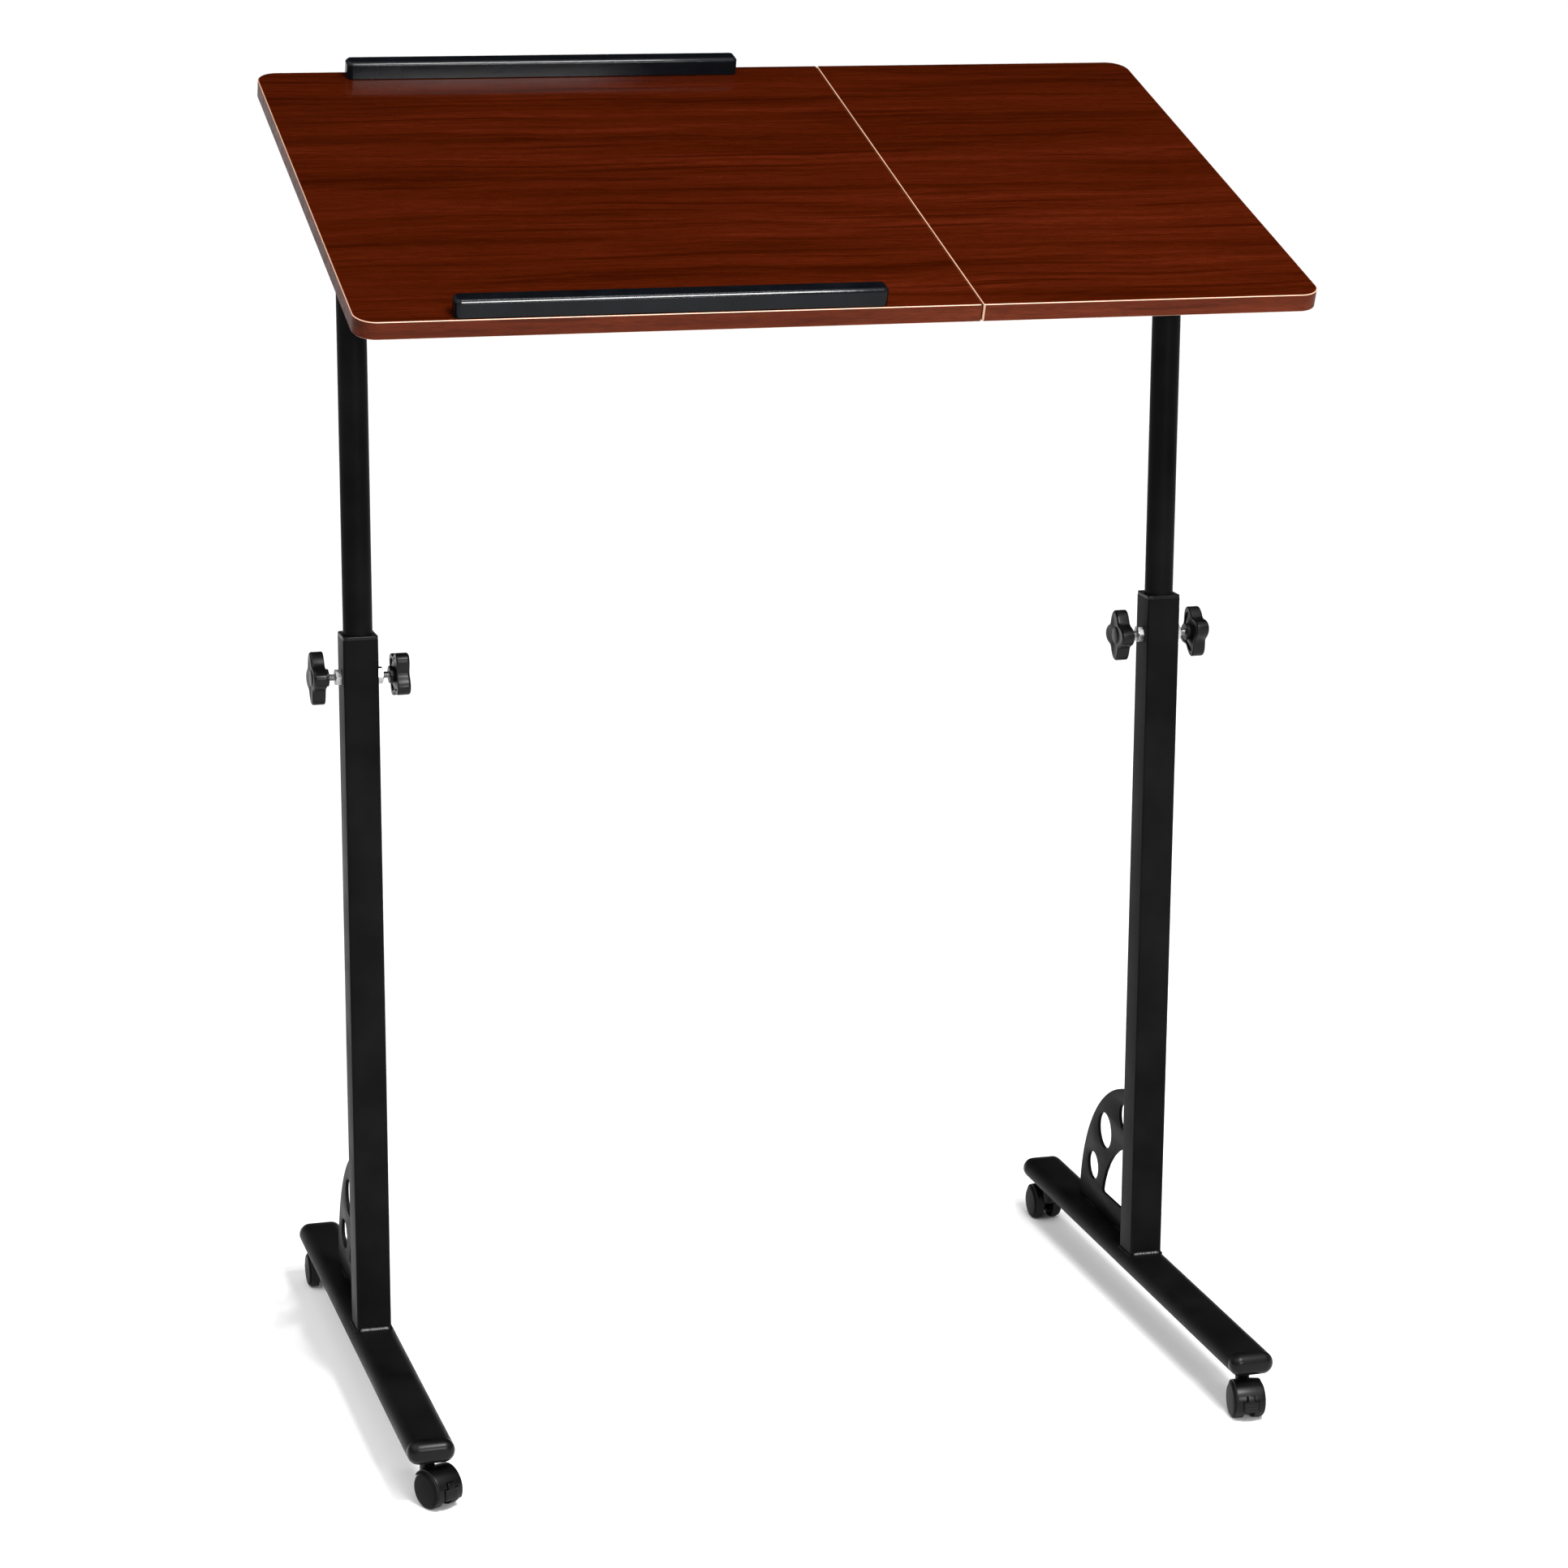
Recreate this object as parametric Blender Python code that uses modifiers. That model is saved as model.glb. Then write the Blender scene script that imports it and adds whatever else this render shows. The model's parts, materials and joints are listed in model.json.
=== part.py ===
"""Laptop table on casters: two telescopic legs, a cross beam and a top in two leaves that tilt.

Metres, +Z up, +X to the user's right, +Y away from the user. The origin is on the floor, under the
middle of the table. The table stands as it is used: raised, with both leaves tilted to the user.
"""

from math import acos, asin, cos, degrees, pi, radians, sin

import bmesh
import bpy
from mathutils import Matrix

# Clearances
SEAT_GAP = 0.0003
WHEEL_SIDE_GAP = 0.0005
WHEEL_RIM_GAP = 0.0007

# Top, in two leaves
LEFT_LEAF_WIDTH = 0.505
RIGHT_LEAF_WIDTH = 0.292
LEAF_SEAM = 0.003
LEAF_DEPTH = 0.500
LEAF_THICKNESS = 0.015
LEAF_CORNER = 0.018
SEAM_CORNER = 0.0016
EDGE_BAND = 0.0012
LEAF_TILT = 18.5

# Stops on the left leaf
STOP_LENGTH = 0.350
STOP_DEPTH = 0.017
STOP_HEIGHT = 0.015
STOP_CORNER = 0.005
STOP_ROUND = 0.003
STOP_FROM_EDGE = 0.0015

# Cross beam and the straps that hold the leaves on it
BEAM_DIAMETER = 0.025
BEAM_WALL = 0.0015
BEAM_PAST_POST = 0.020
BEAM_PLUG_LENGTH = 0.015
BEAM_PLUG_HEAD = 0.003
BEAM_PLUG_ROUND = 0.0015
STRAP_THICKNESS = 0.002
STRAP_WIDTH = 0.030
STRAP_FLANGE = 0.022
STRAP_FROM_POST = 0.075
STRAP_FROM_SEAM = 0.055

# Telescopic legs
POST_SPACING = 0.720
POST_LENGTH = 0.6146
POST_WALL = 0.0012
POST_CORNER = 0.0025
INNER_TUBE_DIAMETER = 0.025
INNER_TUBE_WALL = 0.0012
INNER_TUBE_LENGTH = 0.620
INNER_TUBE_SHOWN = 0.3454
SLEEVE_WALL = 0.0007
SLEEVE_LENGTH = 0.018
COLLAR_HEAD = 0.003

# Knobs and their nuts
STUD_DIAMETER = 0.006
NUT_ACROSS = 0.013
NUT_THICKNESS = 0.005
STUD_SHOWN = 0.0055
KNOB_HUB_DIAMETER = 0.015
KNOB_HUB_LENGTH = 0.004
KNOB_DIAMETER = 0.045
KNOB_VALLEY = 0.0075
KNOB_THICKNESS = 0.0115
KNOB_CHAMFER = 0.002
KNOB_LOBES = 4
KNOB_BELOW_POST_TOP = 0.0335
KNOB_TURNS = {"left_outer": 10.0, "left_inner": 33.0, "right_inner": 5.0, "right_outer": -20.0}

# Feet
FOOT_LENGTH = 0.550
FOOT_WIDTH = 0.040
FOOT_HEIGHT = 0.020
FOOT_WALL = 0.0015
CAP_HEAD = 0.012
CAP_ROUND = 0.0085
CAP_PLUG = 0.036

# Gusset plates behind the posts
GUSSET_RADIUS = 0.143
GUSSET_THICKNESS = 0.003
GUSSET_HOLE_CIRCLE = 0.116
GUSSET_HOLES = ((20.0, 0.0135), (46.0, 0.0172), (75.0, 0.0135))
GUSSET_OPENING_RADIUS = 0.087
GUSSET_POST_STRIP = 0.010
GUSSET_FOOT_STRIP = 0.022

# Casters
WHEEL_DIAMETER = 0.032
WHEEL_WIDTH = 0.0105
WHEEL_SHOULDER = 0.004
WHEEL_INNER_ROUND = 0.001
AXLE_DIAMETER = 0.005
AXLE_IN_WHEEL = 0.007
CASTER_TRAIL = 0.014
CASTER_STEM_FROM_END = 0.026
CASTER_TURNS = {"left_front": 27.0, "right_front": -7.0, "left_rear": 180.0, "right_rear": 180.0}
HOOD_WIDTH = 0.024
HOOD_WALL = 0.0015
HOOD_WEB = 0.008
HOOD_HUB = 0.012
HOOD_REAR_ANGLE = 33.0
HOOD_FRONT_ANGLE = 205.0
BOSS_DIAMETER = 0.0125
BOSS_RISE = 0.0036
BOSS_FLOOR = 0.003
STEM_DIAMETER = 0.0055
STEM_ABOVE_AXLE = 0.007
STEM_FLANGE_DIAMETER = 0.012
STEM_FLANGE = 0.0015
SOCKET_PIN_DIAMETER = 0.008
SOCKET_PIN_LENGTH = 0.011

# Brake levers on the front casters
LEVER_WIDTH = 0.013
LEVER_NECK_WIDTH = 0.006
LEVER_THICKNESS = 0.0023
LEVER_PROUD = 0.0012
LEVER_NECK_ANGLE = 152.0
LEVER_TOP_ANGLE = 167.0
LEVER_BOTTOM_ANGLE = 198.0
LEVER_END_GAP = 2.0
LEVER_POCKET = 0.0016

# Fineness of round forms, in steps
TUBE_STEPS = 20
SADDLE_STEPS = 36
PIN_STEPS = 12
WHEEL_STEPS = 20
WELL_STEPS = 32
CORNER_STEPS = 4
OBROUND_STEPS = 8
ARC_STEPS = 14
HOLE_STEPS = 14
LOBE_STEPS = 8
ROUND_SEGMENTS = 3
SHARP_ANGLE = 35.0
FLAT_ANGLE = 1.0

# How far tools overlap, and how close two points are one
CUT_PAST = 0.002
JOIN_DEPTH = 0.001
SAME_POINT = 0.000001
SAME_HEIGHT = 0.00003
FRAME_SHOWN = 0.03

# Places that follow from the sizes
BEAM_RADIUS = BEAM_DIAMETER / 2
INNER_TUBE_RADIUS = INNER_TUBE_DIAMETER / 2
WHEEL_RADIUS = WHEEL_DIAMETER / 2
POST_SIDE = INNER_TUBE_DIAMETER + 2 * (SEAT_GAP + SLEEVE_WALL + SEAT_GAP + POST_WALL)
POST_X = POST_SPACING / 2
WELL_RADIUS = WHEEL_RADIUS + WHEEL_RIM_GAP
HOOD_RADIUS = WELL_RADIUS + HOOD_WALL
BOSS_TOP = WHEEL_RADIUS + HOOD_RADIUS + BOSS_RISE
STEM_FLANGE_BOTTOM = BOSS_TOP + SEAT_GAP
FOOT_BOTTOM = STEM_FLANGE_BOTTOM + STEM_FLANGE + SEAT_GAP
FOOT_TOP = FOOT_BOTTOM + FOOT_HEIGHT
FOOT_MIDDLE = FOOT_BOTTOM + FOOT_HEIGHT / 2
FOOT_TUBE_LENGTH = FOOT_LENGTH - 2 * (CAP_HEAD + SEAT_GAP)
STEM_Y = FOOT_LENGTH / 2 - CASTER_STEM_FROM_END
POST_BOTTOM = FOOT_TOP + SEAT_GAP
POST_TOP = POST_BOTTOM + POST_LENGTH
COLLAR_BOTTOM = POST_TOP + SEAT_GAP
COLLAR_TOP = COLLAR_BOTTOM + COLLAR_HEAD
BEAM_Z = COLLAR_TOP + INNER_TUBE_SHOWN
KNOB_Z = POST_TOP - KNOB_BELOW_POST_TOP
STRAP_INSIDE = BEAM_RADIUS + SEAT_GAP
STRAP_OUTSIDE = STRAP_INSIDE + STRAP_THICKNESS
LEAF_UNDERSIDE = BEAM_RADIUS + SEAT_GAP
LEAF_TOPSIDE = LEAF_UNDERSIDE + LEAF_THICKNESS
TOP_WIDTH = LEFT_LEAF_WIDTH + LEAF_SEAM + RIGHT_LEAF_WIDTH
LEFT_LEAF = (-TOP_WIDTH / 2, -TOP_WIDTH / 2 + LEFT_LEAF_WIDTH)
RIGHT_LEAF = (TOP_WIDTH / 2 - RIGHT_LEAF_WIDTH, TOP_WIDTH / 2)
SIDES = (("left", -1), ("right", 1))
ENDS = (("front", -1), ("rear", 1))

# Planes in which outlines are drawn: the outline's x and y, and the way it is drawn out
FLAT = Matrix()
FACING_X = Matrix(((0, 0, 1, 0), (1, 0, 0, 0), (0, 1, 0, 0), (0, 0, 0, 1)))
FACING_FRONT = Matrix(((1, 0, 0, 0), (0, 0, -1, 0), (0, 1, 0, 0), (0, 0, 0, 1)))
HALF_TURN = Matrix.Rotation(pi, 4, "Z")


def clear_scene():
    for old in list(bpy.data.objects):
        bpy.data.objects.remove(old, do_unlink=True)


def new_collection(name):
    made = bpy.data.collections.new(name)
    bpy.context.scene.collection.children.link(made)
    return made


clear_scene()
TABLE = new_collection("laptop_table")
CUTTERS = new_collection("cutters")


def finish(name, colour, roughness, metallic):
    made = bpy.data.materials.new(name)
    made.use_nodes = True
    shader = made.node_tree.nodes["Principled BSDF"]
    shader.inputs["Base Color"].default_value = (*colour, 1.0)
    shader.inputs["Roughness"].default_value = roughness
    shader.inputs["Metallic"].default_value = metallic
    return made


POWDER_COAT = finish("black_powder_coat", (0.012, 0.012, 0.013), 0.42, 0.0)
BLACK_PLASTIC = finish("black_plastic", (0.014, 0.014, 0.015), 0.5, 0.0)
GLOSSY_PLASTIC = finish("glossy_black_plastic", (0.012, 0.013, 0.016), 0.18, 0.0)
WHEEL_PLASTIC = finish("wheel_plastic", (0.016, 0.016, 0.017), 0.45, 0.0)
ZINC = finish("bright_zinc", (0.55, 0.56, 0.58), 0.32, 1.0)
MAHOGANY = finish("mahogany_laminate", (0.09, 0.011, 0.004), 0.25, 0.0)
MAHOGANY_EDGE = finish("mahogany_edge_band", (0.16, 0.032, 0.013), 0.4, 0.0)


# Outlines, as points in their own plane


def arc(centre, radius, start, end, steps):
    """Points along an arc, both ends included. Angles are in degrees."""
    angles = [radians(start + (end - start) * i / steps) for i in range(steps + 1)]
    return [(centre[0] + radius * cos(a), centre[1] + radius * sin(a)) for a in angles]


def ring(centre, radius, steps):
    """Points round a full circle."""
    return arc(centre, radius, 0, 360 * (steps - 1) / steps, steps - 1)


def obround(width, height):
    """A flat oval: two half circles joined by straight sides."""
    end = (width - height) / 2
    right = arc((end, 0), height / 2, -90, 90, OBROUND_STEPS)
    left = arc((-end, 0), height / 2, 90, 270, OBROUND_STEPS)
    return right + left


def rounded_box(low, high, radii):
    """A rectangle with one radius for each corner: near left, near right, far right, far left."""
    corners = (
        (low[0] + radii[0], low[1] + radii[0], 180),
        (high[0] - radii[1], low[1] + radii[1], 270),
        (high[0] - radii[2], high[1] - radii[2], 0),
        (low[0] + radii[3], high[1] - radii[3], 90),
    )
    points = []
    for (x, y, start), radius in zip(corners, radii):
        points += arc((x, y), radius, start, start + 90, CORNER_STEPS)
    return points


def rounded_square(side, radius):
    half = side / 2
    return rounded_box((-half, -half), (half, half), (radius,) * 4)


# Solids, each a mesh object that is still to be named


def evaluated_mesh(source):
    """The mesh of an object with its modifiers in it. The source is removed."""
    graph = bpy.context.evaluated_depsgraph_get()
    mesh = bpy.data.meshes.new_from_object(source.evaluated_get(graph))
    bpy.data.objects.remove(source)
    return mesh


def edit_mesh(mesh, change):
    """Runs a change on a mesh, with its doubled points merged first."""
    work = bmesh.new()
    work.from_mesh(mesh)
    bmesh.ops.remove_doubles(work, verts=work.verts, dist=SAME_POINT)
    change(work)
    work.to_mesh(mesh)
    work.free()


def solid(mesh):
    made = bpy.data.objects.new("solid", mesh)
    made.hide_render = True
    made.display_type = "WIRE"
    CUTTERS.objects.link(made)
    return made


def drawn_out(loops, low, high, plane=FLAT):
    """The first loop, with the others as holes, drawn out from low to high along its plane's normal."""
    curve = bpy.data.curves.new("outline", "CURVE")
    curve.dimensions = "2D"
    curve.fill_mode = "BOTH"
    curve.extrude = (high - low) / 2
    for loop in loops:
        spline = curve.splines.new("POLY")
        spline.points.add(len(loop) - 1)
        spline.use_cyclic_u = True
        for point, (x, y) in zip(spline.points, loop):
            point.co = (x, y, 0, 1)
    outline = bpy.data.objects.new("outline", curve)
    CUTTERS.objects.link(outline)
    mesh = evaluated_mesh(outline)
    bpy.data.curves.remove(curve)
    edit_mesh(mesh, lambda work: bmesh.ops.recalc_face_normals(work, faces=work.faces))
    mesh.transform(plane @ Matrix.Translation((0, 0, (low + high) / 2)))
    return solid(mesh)


def bar(radius, low, high, steps, plane=FLAT):
    """A round bar from low to high along its plane's normal."""
    work = bmesh.new()
    bmesh.ops.create_cone(
        work, cap_ends=True, segments=steps, radius1=radius, radius2=radius, depth=high - low
    )
    mesh = bpy.data.meshes.new("bar")
    work.to_mesh(mesh)
    work.free()
    mesh.transform(plane @ Matrix.Translation((0, 0, (low + high) / 2)))
    return solid(mesh)


def turned(profile, steps):
    """A profile of radius and height, top to bottom on its outer side, turned about Z."""
    mesh = bpy.data.meshes.new("profile")
    edges = [(i, i + 1) for i in range(len(profile) - 1)]
    mesh.from_pydata([(radius, 0, z) for radius, z in profile], edges, [])
    spun = solid(mesh)
    screw = spun.modifiers.new("turn", "SCREW")
    screw.steps = steps
    screw.render_steps = steps
    screw.use_merge_vertices = True
    screw.merge_threshold = SAME_POINT
    made = evaluated_mesh(spun)
    edit_mesh(made, lambda work: bmesh.ops.recalc_face_normals(work, faces=work.faces))
    return solid(made)


def combine(body, tool, operation):
    """The body joined with a tool, or cut by it. The tool is used up."""
    boolean = body.modifiers.new("combine", "BOOLEAN")
    boolean.operation = operation
    boolean.solver = "EXACT"
    boolean.object = tool
    mesh = evaluated_mesh(body)
    bpy.data.objects.remove(tool)
    edit_mesh(mesh, lambda work: bmesh.ops.dissolve_degenerate(work, dist=SAME_POINT, edges=work.edges))
    return solid(mesh)


def join(body, tool):
    return combine(body, tool, "UNION")


def cut(body, tool):
    return combine(body, tool, "DIFFERENCE")


def rounded_rim(body, height, radius, segments):
    """Rounds the rim of a flat end, which lies at this height along Z."""

    def change(work):
        flat = radians(FLAT_ANGLE)
        bmesh.ops.dissolve_limit(work, angle_limit=flat, verts=work.verts, edges=work.edges)
        rim = [e for e in work.edges if all(abs(v.co.z - height) < SAME_HEIGHT for v in e.verts)]
        bmesh.ops.bevel(work, geom=rim, offset=radius, segments=segments, profile=0.5, affect="EDGES")

    edit_mesh(body.data, change)
    return body


def moved(body, placement):
    body.data.transform(placement)
    return body


# Pieces and the frames that carry them


def frame(name, place, turn=Matrix()):
    """An empty on a joint's axis or a leg's middle line."""
    made = bpy.data.objects.new(name, None)
    made.empty_display_size = FRAME_SHOWN
    made.matrix_world = Matrix.Translation(place) @ turn
    TABLE.objects.link(made)
    return made


def mesh_of(body, material):
    """Takes a finished solid's mesh, gives it its finish and smooths its round faces."""
    mesh = body.data
    bpy.data.objects.remove(body)
    mesh.materials.clear()
    mesh.materials.append(material)
    mesh.shade_smooth()
    mesh.set_sharp_from_angle(angle=radians(SHARP_ANGLE))
    return mesh


def piece(name, mesh, parent, placement=Matrix()):
    mesh.name = name
    made = bpy.data.objects.new(name, mesh)
    made.parent = parent
    made.matrix_basis = placement
    TABLE.objects.link(made)
    return made


# Feet


def foot_tube_mesh():
    """Flat-oval tube with a hole underneath near each end for the caster's stem."""
    outside = obround(FOOT_WIDTH, FOOT_HEIGHT)
    inside = obround(FOOT_WIDTH - 2 * FOOT_WALL, FOOT_HEIGHT - 2 * FOOT_WALL)
    half = FOOT_TUBE_LENGTH / 2
    tube = drawn_out([outside, inside], -half, half, FACING_FRONT)
    tube = moved(tube, Matrix.Translation((0, 0, FOOT_MIDDLE)))
    hole = SOCKET_PIN_DIAMETER / 2 + SEAT_GAP
    for _, end in ENDS:
        drill = bar(hole, FOOT_BOTTOM - CUT_PAST, FOOT_BOTTOM + FOOT_WALL + CUT_PAST, PIN_STEPS)
        tube = cut(tube, moved(drill, Matrix.Translation((0, end * STEM_Y, 0))))
    return mesh_of(tube, POWDER_COAT)


def foot_cap_mesh():
    """Domed end with a plug for the tube, whose socket takes the caster's stem. Z points out of the tube."""
    head = drawn_out([obround(FOOT_WIDTH, FOOT_HEIGHT)], 0, CAP_HEAD)
    head = rounded_rim(head, CAP_HEAD, CAP_ROUND, ROUND_SEGMENTS)
    inset = 2 * (FOOT_WALL + SEAT_GAP)
    plug_height = FOOT_HEIGHT - inset
    plug = drawn_out([obround(FOOT_WIDTH - inset, plug_height)], -CAP_PLUG, JOIN_DEPTH)
    cap = join(head, plug)
    socket_top = -FOOT_HEIGHT / 2 + FOOT_WALL + SOCKET_PIN_LENGTH + SEAT_GAP
    drill = bar(SOCKET_PIN_DIAMETER / 2 + SEAT_GAP, -FOOT_HEIGHT / 2, socket_top, PIN_STEPS)
    upright = Matrix.Rotation(-pi / 2, 4, "X")
    from_tube_end = CASTER_STEM_FROM_END - CAP_HEAD
    cap = cut(cap, moved(drill, Matrix.Translation((0, 0, -from_tube_end)) @ upright))
    return mesh_of(cap, BLACK_PLASTIC)


# Posts and what is fixed to them


def outer_post_mesh():
    """Square tube with a hole through each side wall for the knobs' studs."""
    outside = rounded_square(POST_SIDE, POST_CORNER)
    inside = rounded_square(POST_SIDE - 2 * POST_WALL, POST_CORNER - POST_WALL)
    tube = drawn_out([outside, inside], POST_BOTTOM, POST_TOP)
    reach = POST_SIDE / 2 + CUT_PAST
    drill = bar(STUD_DIAMETER / 2 + SEAT_GAP, -reach, reach, PIN_STEPS, FACING_X)
    tube = cut(tube, moved(drill, Matrix.Translation((0, 0, KNOB_Z))))
    return mesh_of(tube, POWDER_COAT)


def gusset_mesh():
    """Quarter disc in the corner behind the post, with holes along an arc and an open corner."""
    corner = (POST_SIDE / 2 + SEAT_GAP, FOOT_TOP + SEAT_GAP)
    loops = [[corner] + arc(corner, GUSSET_RADIUS, 0, 90, ARC_STEPS)]
    for angle, radius in GUSSET_HOLES:
        y = corner[0] + GUSSET_HOLE_CIRCLE * cos(radians(angle))
        z = corner[1] + GUSSET_HOLE_CIRCLE * sin(radians(angle))
        loops.append(ring((y, z), radius, HOLE_STEPS))
    low_angle = degrees(asin(GUSSET_FOOT_STRIP / GUSSET_OPENING_RADIUS))
    high_angle = degrees(acos(GUSSET_POST_STRIP / GUSSET_OPENING_RADIUS))
    inner_corner = (corner[0] + GUSSET_POST_STRIP, corner[1] + GUSSET_FOOT_STRIP)
    curve = arc(corner, GUSSET_OPENING_RADIUS, low_angle, high_angle, ARC_STEPS // 2)
    loops.append([inner_corner] + curve)
    half = GUSSET_THICKNESS / 2
    return mesh_of(drawn_out(loops, -half, half, FACING_X), POWDER_COAT)


def collar_mesh():
    """Guide bush: a square head on the post's mouth and a thin sleeve inside it, with a round bore."""
    head = drawn_out([rounded_square(POST_SIDE, POST_CORNER)], COLLAR_BOTTOM, COLLAR_TOP)
    sleeve_side = POST_SIDE - 2 * (POST_WALL + SEAT_GAP)
    sleeve_outline = rounded_square(sleeve_side, POST_CORNER)
    sleeve_bottom = POST_TOP - SLEEVE_LENGTH
    collar = join(head, drawn_out([sleeve_outline], sleeve_bottom, COLLAR_BOTTOM + JOIN_DEPTH))
    bore = INNER_TUBE_RADIUS + SEAT_GAP
    collar = cut(collar, bar(bore, sleeve_bottom - CUT_PAST, COLLAR_TOP + CUT_PAST, TUBE_STEPS))
    return mesh_of(collar, BLACK_PLASTIC)


def hexagon(across):
    return ring((0, 0), across / 2 / cos(radians(30)), 6)


def nut_mesh():
    """Weld nut. Z points away from the wall that it sits on."""
    bore = ring((0, 0), STUD_DIAMETER / 2 + SEAT_GAP, PIN_STEPS)
    nut = drawn_out([hexagon(NUT_ACROSS), bore], SEAT_GAP, SEAT_GAP + NUT_THICKNESS)
    return mesh_of(nut, ZINC)


def knob_mesh(stud_reach):
    """Lobed knob moulded on a stud. Z points out of the knob, from the face that its nut sits on."""
    hub_low = SEAT_GAP + NUT_THICKNESS + STUD_SHOWN
    star_low = hub_low + KNOB_HUB_LENGTH
    star_high = star_low + KNOB_THICKNESS
    count = KNOB_LOBES * LOBE_STEPS
    outline = []
    for i in range(count):
        angle = 2 * pi * i / count
        radius = KNOB_DIAMETER / 2 - KNOB_VALLEY * (1 - cos(KNOB_LOBES * angle)) / 2
        outline.append((radius * cos(angle), radius * sin(angle)))
    star = drawn_out([outline], star_low, star_high)
    for height in (star_low, star_high):
        star = rounded_rim(star, height, KNOB_CHAMFER, 1)
    hub = bar(KNOB_HUB_DIAMETER / 2, hub_low, star_low + JOIN_DEPTH, TUBE_STEPS)
    stud = bar(STUD_DIAMETER / 2, -stud_reach, hub_low + JOIN_DEPTH, PIN_STEPS)
    return mesh_of(join(join(star, hub), stud), BLACK_PLASTIC)


# Rising frame


def inner_tube_mesh():
    """Round tube that slides in the post, its top shaped to sit round the beam."""
    outside = ring((0, 0), INNER_TUBE_RADIUS, TUBE_STEPS)
    inside = ring((0, 0), INNER_TUBE_RADIUS - INNER_TUBE_WALL, TUBE_STEPS)
    tube = drawn_out([outside, inside], BEAM_Z - INNER_TUBE_LENGTH, BEAM_Z)
    reach = INNER_TUBE_DIAMETER
    saddle = bar(BEAM_RADIUS + SEAT_GAP, -reach, reach, SADDLE_STEPS, FACING_X)
    tube = cut(tube, moved(saddle, Matrix.Translation((0, 0, BEAM_Z))))
    return mesh_of(tube, POWDER_COAT)


def beam_mesh():
    outside = ring((0, 0), BEAM_RADIUS, TUBE_STEPS)
    inside = ring((0, 0), BEAM_RADIUS - BEAM_WALL, TUBE_STEPS)
    half = POST_X + BEAM_PAST_POST
    return mesh_of(drawn_out([outside, inside], -half, half, FACING_X), POWDER_COAT)


def beam_plug_mesh():
    """End plug. Z points out of the beam, from the beam's end."""
    plug = BEAM_RADIUS - BEAM_WALL - SEAT_GAP
    top = SEAT_GAP + BEAM_PLUG_HEAD
    profile = [
        (0, top),
        (BEAM_RADIUS - BEAM_PLUG_ROUND, top),
        (BEAM_RADIUS, top - BEAM_PLUG_ROUND),
        (BEAM_RADIUS, SEAT_GAP),
        (plug, SEAT_GAP),
        (plug, -BEAM_PLUG_LENGTH),
        (0, -BEAM_PLUG_LENGTH),
    ]
    return mesh_of(turned(profile, TUBE_STEPS), BLACK_PLASTIC)


# Leaves of the top, drawn in the leaf's own plane with the beam's axis as origin


def leaf_outline(edges, inset):
    """Plan of a leaf, drawn in by an inset. Its outer corners are round, and the seam's are nearly square."""
    outer = LEAF_CORNER - inset
    seam = max(SEAM_CORNER - inset, SEAT_GAP)
    radii = (outer, seam, seam, outer) if edges == LEFT_LEAF else (seam, outer, outer, seam)
    half = LEAF_DEPTH / 2 - inset
    return rounded_box((edges[0] + inset, -half), (edges[1] - inset, half), radii)


def panel_mesh(edges):
    core = leaf_outline(edges, EDGE_BAND + SEAT_GAP)
    return mesh_of(drawn_out([core], LEAF_UNDERSIDE, LEAF_TOPSIDE), MAHOGANY)


def edge_band_mesh(edges):
    loops = [leaf_outline(edges, 0), leaf_outline(edges, EDGE_BAND)]
    return mesh_of(drawn_out(loops, LEAF_UNDERSIDE, LEAF_TOPSIDE), MAHOGANY_EDGE)


def stop_mesh():
    """Bar that keeps a laptop from sliding off, with its top edges rounded."""
    half = (STOP_LENGTH / 2, STOP_DEPTH / 2)
    plan = rounded_box((-half[0], -half[1]), half, (STOP_CORNER,) * 4)
    stop = drawn_out([plan], SEAT_GAP, SEAT_GAP + STOP_HEIGHT)
    stop = rounded_rim(stop, SEAT_GAP + STOP_HEIGHT, STOP_ROUND, ROUND_SEGMENTS)
    return mesh_of(stop, GLOSSY_PLASTIC)


def strap_mesh(with_nut):
    """Pressed strap round the beam, with a flange each side under the leaf."""
    high = LEAF_UNDERSIDE - SEAT_GAP
    low = high - STRAP_THICKNESS
    tip = STRAP_OUTSIDE + STRAP_FLANGE
    outline = [(-tip, high), (-tip, low), (-STRAP_OUTSIDE, low)]
    outline += arc((0, 0), STRAP_OUTSIDE, 180, 360, ARC_STEPS)
    outline += [(STRAP_OUTSIDE, low), (tip, low), (tip, high), (STRAP_INSIDE, high)]
    outline += arc((0, 0), STRAP_INSIDE, 360, 180, ARC_STEPS)
    outline.append((-STRAP_INSIDE, high))
    half = STRAP_WIDTH / 2
    strap = drawn_out([outline], -half, half, FACING_X)
    if with_nut:
        low = -STRAP_OUTSIDE - NUT_THICKNESS
        nut = drawn_out([hexagon(NUT_ACROSS)], low, -STRAP_INSIDE - SEAT_GAP)
        strap = join(strap, nut)
        strap = cut(strap, bar(STUD_DIAMETER / 2 + SEAT_GAP, low - CUT_PAST, 0, PIN_STEPS))
    return mesh_of(strap, POWDER_COAT)


# Casters, drawn with the stem's axis as origin and the wheels to the front of it

AXLE = (-CASTER_TRAIL, WHEEL_RADIUS)


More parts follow.
